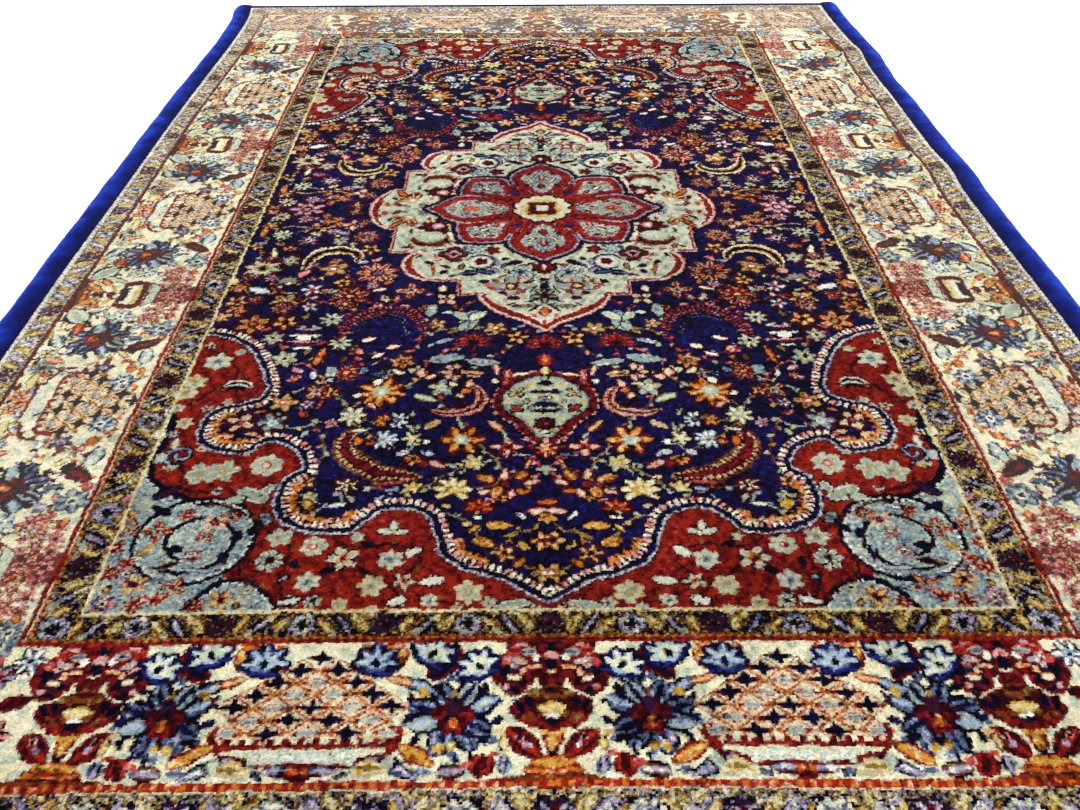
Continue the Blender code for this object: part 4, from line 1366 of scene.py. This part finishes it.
fine, broad = wander(330, 500), wander(22, 34)
drift_x = 0.9 * np.sin(tuft_y * 9 + 2 * np.sin(tuft_x * 5))
drift_x += 0.9 * wander(150, 240) + 0.8 * wander(300, 440)
drift_y = 0.9 * np.sin(tuft_x * 8 - 1.5 * np.sin(tuft_y * 6))
drift_y += 0.9 * wander(150, 240) + 0.7 * wander(300, 440)
slip = 0.3 + 1.8 * (random.random(tuft_x.shape) < 0.03)
chart_x = tuft_x * 1000 + drift_x + slip * random.uniform(-1, 1, tuft_x.shape)
chart_y = tuft_y * 1000 + drift_y + slip * random.uniform(-1, 1, tuft_x.shape)


def knotted(x, y, of=chart):
    """What the chart, or a mask as large, shows at some places, in mm from the middle of the rug."""
    rows = np.minimum(np.abs(y) / STEP, of.shape[0] - 1).astype(int)
    return of[rows, np.minimum(np.abs(x) / STEP, of.shape[1] - 1).astype(int)]


picked = knotted(chart_x, chart_y)
# inside the field the darker of two neighbours often wins, so the ground runs into the light flowers
inside = (np.abs(tuft_x) < FIELD_X / 1000) & (np.abs(tuft_y) < FIELD_Y / 1000)
beside = knotted(chart_x + 2.2 * wander(300, 440), chart_y + 2.2 * wander(300, 440))
depth = np.array([sum(int(code[at : at + 2], 16) for at in (0, 2, 4)) for code in WOOLS.values()])
picked = np.where(inside & (fine > -0.1) & (depth[beside] < depth[picked]), beside, picked)
# where one wool ran out the weaver went on with the nearest darker or lighter one, so every colour is mottled
NEAR_WOOLS = {
    "navy": ("ink", "blue"), "ink": ("ink", "navy"), "blue": ("navy", "blue"), "steel": ("ink", "sky"),
    "sky": ("steel", "mist"),
    "teal": ("steel", "mist"), "mist": ("sage", "cream"), "cream": ("cream", "ivory"),
    "ivory": ("ivory", "cream"),
    "straw": ("gold", "cream"), "gold": ("umber", "straw"), "olive": ("umber", "gold"),
    "orange": ("umber", "peach"),
    "peach": ("orange", "sand"), "pink": ("rose", "lilac"), "rose": ("crimson", "pink"),
    "red": ("crimson", "rose"),
    "crimson": ("maroon", "red"), "maroon": ("ink", "crimson"), "plum": ("ink", "maroon"),
    "lilac": ("steel", "ivory"),
    "umber": ("maroon", "olive"), "sage": ("teal", "mist"), "sand": ("gold", "cream"),
    "frost": ("mist", "cream"), "shell": ("sand", "cream"),
}
darker, lighter = np.array([[WOOL_NUMBERS[NEAR_WOOLS[name][way]] for name in WOOLS] for way in (0, 1)])
run_out = wander(330, 500) + 0.3 * random.uniform(-1, 1, tuft_x.shape) + 0.25 * broad
often = np.isin(picked, [WOOL_NUMBERS[name] for name in ("navy", "red", "crimson")])
from_lighter = run_out > 0.62 + 0.3 * often
from_darker = run_out < -0.52 + 0.36 * often
picked = np.where(from_lighter, lighter[picked], np.where(from_darker, darker[picked], picked))


def linear(code):
    """A colour written as sRGB hex, as the linear red, green and blue that Blender mixes."""
    parts = np.array([int(code[at : at + 2], 16) for at in (0, 2, 4)]) / 255
    return np.where(parts < 0.04045, parts / 12.92, ((parts + 0.055) / 1.055) ** 2.4)


dyed = np.array([linear(code) for code in WOOLS.values()])
# wool dyed in small lots comes out lighter or darker in bands, patches of brushed pile are painted lighter
# and darker as the light falls on them, and each tuft varies at random, partly its own wool, partly painted
# shade between tufts
shade = 1 + 0.13 * random.standard_normal(tuft_x.shape) + 0.16 * fine + 0.10 * broad
shade *= 0.82 - 0.05 * inside
# the medallion, the pendants, the corners and the inner guard are of deeper wool than the border
deeper = 0.23 * (medallion | corner_ground | inner) - 0.12 * teal_ground
shade *= 1 - knotted(chart_x, chart_y, deeper)
inner_guard = ~inside & (np.abs(tuft_x) < LINE_X / 1000) & (np.abs(tuft_y) < LINE_Y / 1000)
shade *= 1 - 0.20 * inner_guard
shade *= 1 + 0.04 * np.sin(tuft_y * 37 + np.sin(tuft_y * 11) * 2) + 0.03 * np.sin(tuft_y * 90 + tuft_x * 3)
tuft_wool = dyed[picked] * np.clip(shade, 0.35, 1.5)[..., None]
tuft_wool *= 1 + 0.03 * random.standard_normal((*tuft_x.shape, 3))
# painted sheen: the colours are mixed towards a pale tan, a little in the side borders and most of all at the
# far end, as the pile's sheen at a grazing angle
painted_sheen = 0.05 * (np.abs(tuft_x) > 0.40) + 0.17 * np.clip((tuft_y - 0.68) / 0.08, 0, 1)
tuft_wool += painted_sheen[..., None] * (np.array([0.62, 0.52, 0.40]) - tuft_wool)
tuft_wool = np.clip(tuft_wool, 0.0012, 0.95)

line_x, line_y = np.meshgrid(
    np.linspace(-half_width, half_width, COLUMNS + 1), np.linspace(-PILE_END, PILE_END, ROWS + 1)
)
corner_z = PILE_TOP + unevenness(line_x, line_y) + 0.00032 * random.standard_normal(line_x.shape)
inner_line = (np.abs(line_x) < half_width - 0.0001) & (np.abs(line_y) < PILE_END - 0.0001)
stray = 0.00042 * inner_line
corner_x = laid(line_x, line_y) + stray * random.uniform(-1, 1, line_x.shape)
corner_y = line_y + stray * random.uniform(-1, 1, line_x.shape)
from_end = (PILE_END - np.abs(line_y)) / (KNOT / 1000)
corner_z -= 0.0016 * np.clip(1 - from_end / 2.5, 0, 1) ** 2

# cut wool shows its fibres as a fine relief, on the knots and on the plush, and the same noise darkens and
# lightens the colour: partly fibres of lighter and darker wool, partly painted shade in their hollows and
# painted light on their tips
cut_fibres = bpy.data.node_groups.new("cut_fibres", "ShaderNodeTree")
for label, kind in (
    ("Wool", "NodeSocketColor"),
    ("Scale", "NodeSocketFloat"),
    ("Darkest", "NodeSocketFloat"),
    ("Lightest", "NodeSocketFloat"),
    ("Strength", "NodeSocketFloat"),
    ("Distance", "NodeSocketFloat"),
):
    cut_fibres.interface.new_socket(label, in_out="INPUT", socket_type=kind)
cut_fibres.interface.new_socket("Color", in_out="OUTPUT", socket_type="NodeSocketColor")
cut_fibres.interface.new_socket("Normal", in_out="OUTPUT", socket_type="NodeSocketVector")
nodes, links = cut_fibres.nodes, cut_fibres.links
chosen = nodes.new("NodeGroupInput")
place = nodes.new("ShaderNodeTexCoord")
fibres = nodes.new("ShaderNodeTexNoise")
fibres.inputs["Detail"].default_value = 3
links.new(place.outputs["Object"], fibres.inputs["Vector"])
links.new(chosen.outputs["Scale"], fibres.inputs["Scale"])
# the noise that raises the fibres also scales the colour: painted shade in the hollows, painted light on the
# tips
fibre_shade = nodes.new("ShaderNodeMapRange")
fibre_shade.inputs["From Min"].default_value = 0.3
fibre_shade.inputs["From Max"].default_value = 0.7
links.new(chosen.outputs["Darkest"], fibre_shade.inputs["To Min"])
links.new(chosen.outputs["Lightest"], fibre_shade.inputs["To Max"])
links.new(fibres.outputs["Fac"], fibre_shade.inputs["Value"])
shaded = nodes.new("ShaderNodeVectorMath")
shaded.operation = "SCALE"
links.new(chosen.outputs["Wool"], shaded.inputs[0])
links.new(fibre_shade.outputs["Result"], shaded.inputs["Scale"])
tips = nodes.new("ShaderNodeBump")
links.new(chosen.outputs["Strength"], tips.inputs["Strength"])
links.new(chosen.outputs["Distance"], tips.inputs["Distance"])
links.new(fibres.outputs["Fac"], tips.inputs["Height"])
finished = nodes.new("NodeGroupOutput")
links.new(shaded.outputs["Vector"], finished.inputs["Color"])
links.new(tips.outputs["Normal"], finished.inputs["Normal"])


def show_fibres(material, wool, scale, darkest, lightest, strength, distance):
    """Lays the fibres, with their painted shade and light, over the wool colour of a material."""
    nodes, links = material.node_tree.nodes, material.node_tree.links
    surface = nodes["Principled BSDF"]
    cut = nodes.new("ShaderNodeGroup")
    cut.node_tree = cut_fibres
    cut.inputs["Scale"].default_value = scale
    cut.inputs["Darkest"].default_value = darkest
    cut.inputs["Lightest"].default_value = lightest
    cut.inputs["Strength"].default_value = strength
    cut.inputs["Distance"].default_value = distance
    links.new(wool.outputs["Color"], cut.inputs["Wool"])
    links.new(cut.outputs["Color"], surface.inputs["Base Color"])
    links.new(cut.outputs["Normal"], surface.inputs["Normal"])


wool_pile = bpy.data.materials.new("knotted_wool")
wool_pile.use_nodes = True
nodes, links = wool_pile.node_tree.nodes, wool_pile.node_tree.links
surface = nodes["Principled BSDF"]
surface.inputs["Roughness"].default_value = 0.92
surface.inputs["Specular IOR Level"].default_value = 0.03
surface.inputs["Sheen Weight"].default_value = 0.012
surface.inputs["Sheen Roughness"].default_value = 0.45
wool_colour = nodes.new("ShaderNodeAttribute")
wool_colour.attribute_name = "wool"
show_fibres(wool_pile, wool_colour, scale=760, darkest=0.70, lightest=1.22, strength=0.6, distance=0.0009)


def woven(name, columns, rows, points):
    """A grid of cloth whose corners lie on the given points."""
    bpy.ops.object.select_all(action="DESELECT")
    bpy.ops.mesh.primitive_grid_add(x_subdivisions=columns, y_subdivisions=rows, size=1, calc_uvs=False)
    cloth = bpy.context.object
    cloth.name = name
    cloth.data.vertices.foreach_set("co", points.ravel())
    return cloth


def draw_sides_down(depth):
    """Gives the cloth in hand sides as deep as that, and leaves it in edit mode."""
    bpy.ops.object.mode_set(mode="EDIT")
    bpy.ops.mesh.select_mode(type="EDGE")
    bpy.ops.mesh.select_all(action="DESELECT")
    bpy.ops.mesh.select_non_manifold()
    bpy.ops.mesh.extrude_edges_move(TRANSFORM_OT_translate={"value": (0, 0, -depth)})


field_left = round((half_width - LINE_X / 1000) / (KNOT / 1000))
field_near = round((PILE_END - LINE_Y / 1000) / (KNOT / 1000))
field_rows = ROWS - 2 * field_near
thirds = [field_near + field_rows * part // 3 for part in range(4)]
for name, rows, columns in (
    ("pile_border_near", (0, field_near), (0, COLUMNS)),
    ("pile_border_left", (field_near, ROWS - field_near), (0, field_left)),
    ("pile_field_near", (thirds[0], thirds[1]), (field_left, COLUMNS - field_left)),
    ("pile_field_middle", (thirds[1], thirds[2]), (field_left, COLUMNS - field_left)),
    ("pile_field_far", (thirds[2], thirds[3]), (field_left, COLUMNS - field_left)),
    ("pile_border_right", (field_near, ROWS - field_near), (COLUMNS - field_left, COLUMNS)),
    ("pile_border_far", (ROWS - field_near, ROWS), (0, COLUMNS)),
):
    part = np.s_[rows[0] : rows[1] + 1, columns[0] : columns[1] + 1]
    points = np.stack([corner_x[part], corner_y[part], corner_z[part]], axis=-1)
    across = columns[1] - columns[0]
    panel = woven(name, across, rows[1] - rows[0], points)
    mesh = panel.data
    corners = np.empty(len(mesh.loops), np.int32)
    mesh.loops.foreach_get("vertex_index", corners)
    # every corner of a knot shows the tuft that is nearest to it
    knot_row, knot_column = np.divmod(np.repeat(np.arange(len(corners) // 4), 4), across)
    corner_row, corner_column = np.divmod(corners, across + 1)
    tufts = tuft_wool[2 * rows[0] + knot_row + corner_row, 2 * columns[0] + knot_column + corner_column]
    blended = 0.84 * tufts + 0.16 * np.repeat(tufts.reshape(-1, 4, 3).mean(axis=1), 4, axis=0)
    colours = mesh.color_attributes.new("wool", "FLOAT_COLOR", "CORNER")
    colours.data.foreach_set("color", np.column_stack([blended, np.ones(len(blended))]).ravel())
    mesh.update()
    # the sides of the panel, down into the ground weave, and its underside
    draw_sides_down(0.001)
    bpy.ops.object.mode_set(mode="OBJECT")
    heights = np.empty(len(mesh.vertices) * 3)
    mesh.vertices.foreach_get("co", heights)
    heights = heights.reshape(-1, 3)
    heights[points.size // 3 :, 2] = GROUND_TOP - 0.0004
    mesh.vertices.foreach_set("co", heights.ravel())
    bpy.ops.object.mode_set(mode="EDIT")
    bpy.ops.mesh.edge_face_add()
    bpy.ops.object.mode_set(mode="OBJECT")
    bpy.ops.object.shade_smooth()
    mesh.materials.append(wool_pile)
    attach(panel, "root")
    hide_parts("rug_body")


# ---------------------------------------------------------------- rug body: ground weave
# The cotton ground that the knots are tied on, 4 mm thick, bare on the underside. It runs the whole
# length of the rug and carries the overcast roll at each end, past the last knots.

GROUND_COLUMNS, GROUND_ROWS = 24, 90
x, y = np.meshgrid(
    np.linspace(-half_width, half_width, GROUND_COLUMNS + 1),
    np.linspace(-RUG_LENGTH / 2, RUG_LENGTH / 2, GROUND_ROWS + 1),
)
flat_top = np.stack([laid(x, y), y, np.full(x.shape, GROUND_TOP)], axis=-1)
ground = woven("ground_weave", GROUND_COLUMNS, GROUND_ROWS, flat_top)
thick = ground.modifiers.new("thickness", "SOLIDIFY")
thick.thickness = GROUND_TOP
thick.offset = -1
bpy.ops.object.modifier_apply(modifier="thickness")

cotton = bpy.data.materials.new("cotton_ground")
cotton.use_nodes = True
nodes, links = cotton.node_tree.nodes, cotton.node_tree.links
surface = nodes["Principled BSDF"]
surface.inputs["Roughness"].default_value = 0.9
surface.inputs["Specular IOR Level"].default_value = 0.2
place = nodes.new("ShaderNodeTexCoord")
threads = nodes.new("ShaderNodeTexBrick")
threads.offset = 0.5
threads.inputs["Scale"].default_value = 1
threads.inputs["Brick Width"].default_value = 0.0021
threads.inputs["Row Height"].default_value = 0.0011
threads.inputs["Mortar Size"].default_value = 0.00016
threads.inputs["Mortar Smooth"].default_value = 0.6
threads.inputs["Color1"].default_value = (0.52, 0.45, 0.33, 1)
threads.inputs["Color2"].default_value = (0.63, 0.56, 0.43, 1)
threads.inputs["Mortar"].default_value = (0.20, 0.16, 0.11, 1)
links.new(place.outputs["Object"], threads.inputs["Vector"])
links.new(threads.outputs["Color"], surface.inputs["Base Color"])
sunk = nodes.new("ShaderNodeBump")
sunk.invert = True
sunk.inputs["Strength"].default_value = 0.7
sunk.inputs["Distance"].default_value = 0.0004
links.new(threads.outputs["Fac"], sunk.inputs["Height"])
links.new(sunk.outputs["Normal"], surface.inputs["Normal"])
ground.data.materials.append(cotton)
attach(ground, "root")
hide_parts("rug_body")


# ---------------------------------------------------------------- rug body: overcast ends
# The ground is turned over at each end and overcast with navy wool, which holds the last row of knots. It
# makes a narrow roll a little higher than the pile, with the wool lying over it in ribs.

ROLL_RISE = 0.0058

flat_weave = bpy.data.materials.new("navy_flat_weave")
flat_weave.use_nodes = True
nodes, links = flat_weave.node_tree.nodes, flat_weave.node_tree.links
surface = nodes["Principled BSDF"]
surface.inputs["Roughness"].default_value = 0.85
surface.inputs["Specular IOR Level"].default_value = 0.15
place = nodes.new("ShaderNodeTexCoord")
ribs = nodes.new("ShaderNodeTexWave")
ribs.bands_direction = "Y"
ribs.inputs["Scale"].default_value = 190
ribs.inputs["Distortion"].default_value = 1.2
ribs.inputs["Detail"].default_value = 2
ribs.inputs["Detail Scale"].default_value = 3
links.new(place.outputs["Object"], ribs.inputs["Vector"])
rib_wool = nodes.new("ShaderNodeValToRGB")
rib_wool.color_ramp.elements[0].color = (0.004, 0.004, 0.018, 1)
rib_wool.color_ramp.elements[1].color = (0.022, 0.022, 0.095, 1)
links.new(ribs.outputs["Fac"], rib_wool.inputs["Fac"])
links.new(rib_wool.outputs["Color"], surface.inputs["Base Color"])
raised = nodes.new("ShaderNodeBump")
raised.inputs["Strength"].default_value = 0.8
raised.inputs["Distance"].default_value = 0.0006
links.new(ribs.outputs["Fac"], raised.inputs["Height"])
links.new(raised.outputs["Normal"], surface.inputs["Normal"])
for end, name in ((-1, "near"), (1, "far")):
    x, out = np.meshgrid(np.linspace(-half_width, half_width, 161), np.linspace(0, 1, 9))
    y = end * (PILE_END + 0.0004 + (RUG_LENGTH / 2 - PILE_END - 0.0004) * (out if end > 0 else 1 - out))
    across = np.clip(np.abs(y) - PILE_END, 0, 1) / (RUG_LENGTH / 2 - PILE_END)
    swell = ROLL_RISE * np.sqrt(np.clip(1 - (1.6 * across - 0.8) ** 2, 0, 1))
    z = GROUND_TOP + 0.0003 + swell + 0.00008 * random.standard_normal(x.shape)
    strip = woven(f"end_strip_{name}", 160, 8, np.stack([laid(x, y), y, z], axis=-1))
    draw_sides_down(0.0006)
    bpy.ops.mesh.edge_face_add()
    bpy.ops.mesh.select_all(action="SELECT")
    bpy.ops.mesh.normals_make_consistent(inside=False)
    bpy.ops.object.mode_set(mode="OBJECT")
    bpy.ops.object.shade_smooth()
    strip.data.materials.append(flat_weave)
    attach(strip, "root")
    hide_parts("rug_body")


# ---------------------------------------------------------------- side edgings
# A band of thick blue plush on each side, folded round the edge and sewn down along the pile.

EDGING_CREST, EDGING_CREST_AT, EDGING_SEAM_TOP, EDGING_RIM_TOP = 0.0115, 0.60, 0.0085, 0.0030
EDGING_OVERRUN, EDGING_CORNER = 0.0060, 0.0140
plush = bpy.data.materials.new("blue_plush")
plush.use_nodes = True
nodes, links = plush.node_tree.nodes, plush.node_tree.links
surface = nodes["Principled BSDF"]
surface.inputs["Roughness"].default_value = 0.78
surface.inputs["Specular IOR Level"].default_value = 0.05
surface.inputs["Sheen Weight"].default_value = 0.02
surface.inputs["Sheen Roughness"].default_value = 0.35
surface.inputs["Sheen Tint"].default_value = (0.25, 0.35, 1.0, 1)
place = nodes.new("ShaderNodeTexCoord")
# painted light and shade on the blue plush: dark painted shade along the seam, a painted shine towards the
# outer edge, and cloudy patches of painted shading over both
outward = nodes.new("ShaderNodeAttribute")
outward.attribute_name = "outward"
shading_blotches = nodes.new("ShaderNodeTexNoise")
shading_blotches.inputs["Scale"].default_value = 26
shading_blotches.inputs["Detail"].default_value = 4
shading_blotches.inputs["Roughness"].default_value = 0.62
shading_blotches.inputs["Distortion"].default_value = 0.6
links.new(place.outputs["Object"], shading_blotches.inputs["Vector"])
lit_share = nodes.new("ShaderNodeMath")
lit_share.operation = "MULTIPLY_ADD"
lit_share.inputs[1].default_value = 1.25
links.new(shading_blotches.outputs["Fac"], lit_share.inputs[0])
links.new(outward.outputs["Fac"], lit_share.inputs[2])
# the ramp runs from the blue in painted shade to the blue in painted shine
blue_with_painted_light = nodes.new("ShaderNodeValToRGB")
blue_with_painted_light.color_ramp.elements[0].position = 0.48
blue_with_painted_light.color_ramp.elements[0].color = (0.0012, 0.0040, 0.052, 1)
blue_with_painted_light.color_ramp.elements[1].position = 0.92
blue_with_painted_light.color_ramp.elements[1].color = (0.018, 0.058, 0.50, 1)
middle_painted_light = blue_with_painted_light.color_ramp.elements.new(0.68)
middle_painted_light.color = (0.0045, 0.0140, 0.185, 1)
halved = nodes.new("ShaderNodeMath")
halved.operation = "MULTIPLY"
halved.inputs[1].default_value = 0.62
links.new(lit_share.outputs["Value"], halved.inputs[0])
links.new(halved.outputs["Value"], blue_with_painted_light.inputs["Fac"])
show_fibres(plush, blue_with_painted_light, scale=620, darkest=0.66, lightest=1.34, strength=0.5, distance=0.0008)
for side, name in ((-1, "left"), (1, "right")):
    across, rows = 14, 404
    u, y = np.meshgrid(
        np.linspace(0, 1, across + 1) ** 0.9,
        np.linspace(-1, 1, rows + 1) * (RUG_LENGTH / 2 + EDGING_OVERRUN)
    )
    rising = EDGING_SEAM_TOP + (EDGING_CREST - EDGING_SEAM_TOP) * np.sin(
        np.pi / 2 * np.clip(u / EDGING_CREST_AT, 0, 1)
    )
    falling = EDGING_RIM_TOP + (EDGING_CREST - EDGING_RIM_TOP) * np.cos(
        np.pi / 2 * np.clip((u - EDGING_CREST_AT) / (1 - EDGING_CREST_AT), 0, 1)
    ) ** 0.75
    height = np.where(u < EDGING_CREST_AT, rising, falling)
    lumps = 0.0005 * np.sin(2 * np.pi * y / 0.173 + side) + 0.0003 * np.sin(2 * np.pi * y / 0.071)
    into_corner = np.clip(np.abs(y) - (RUG_LENGTH / 2 + EDGING_OVERRUN - EDGING_CORNER), 0, EDGING_CORNER)
    drawn_in = EDGING_CORNER * (1 - np.sqrt(1 - (into_corner / EDGING_CORNER) ** 2 * 0.999)) * 0.45
    end_fall = 1 - 0.15 * (into_corner / EDGING_CORNER) ** 2
    edge = side_edge(side, y)
    x = side * (edge - EDGING_WIDTH + u * (EDGING_WIDTH - drawn_in))
    z = height * end_fall + lumps * u
    z += 0.00018 * random.standard_normal(z.shape)
    edging = woven(f"plush_edging_{name}", across, rows, np.stack([x, y, z], axis=-1))
    draw_sides_down(0.001)
    bpy.ops.object.mode_set(mode="OBJECT")
    heights = np.empty(len(edging.data.vertices) * 3)
    edging.data.vertices.foreach_get("co", heights)
    heights = heights.reshape(-1, 3)
    heights[x.size :, 2] = 0
    edging.data.vertices.foreach_set("co", heights.ravel())
    outward_share = edging.data.attributes.new("outward", "FLOAT", "POINT")
    outward = (side * heights[:, 0] - side_edge(side, heights[:, 1])) / EDGING_WIDTH + 1
    outward_share.data.foreach_set("value", np.clip(outward, 0, 1))
    bpy.ops.object.mode_set(mode="EDIT")
    bpy.ops.mesh.edge_face_add()
    bpy.ops.mesh.select_all(action="SELECT")
    bpy.ops.mesh.normals_make_consistent(inside=False)
    bpy.ops.object.mode_set(mode="OBJECT")
    bpy.ops.object.shade_smooth()
    edging.data.materials.append(plush)
    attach(edging, "root")
    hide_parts(f"side_edging_{name}")
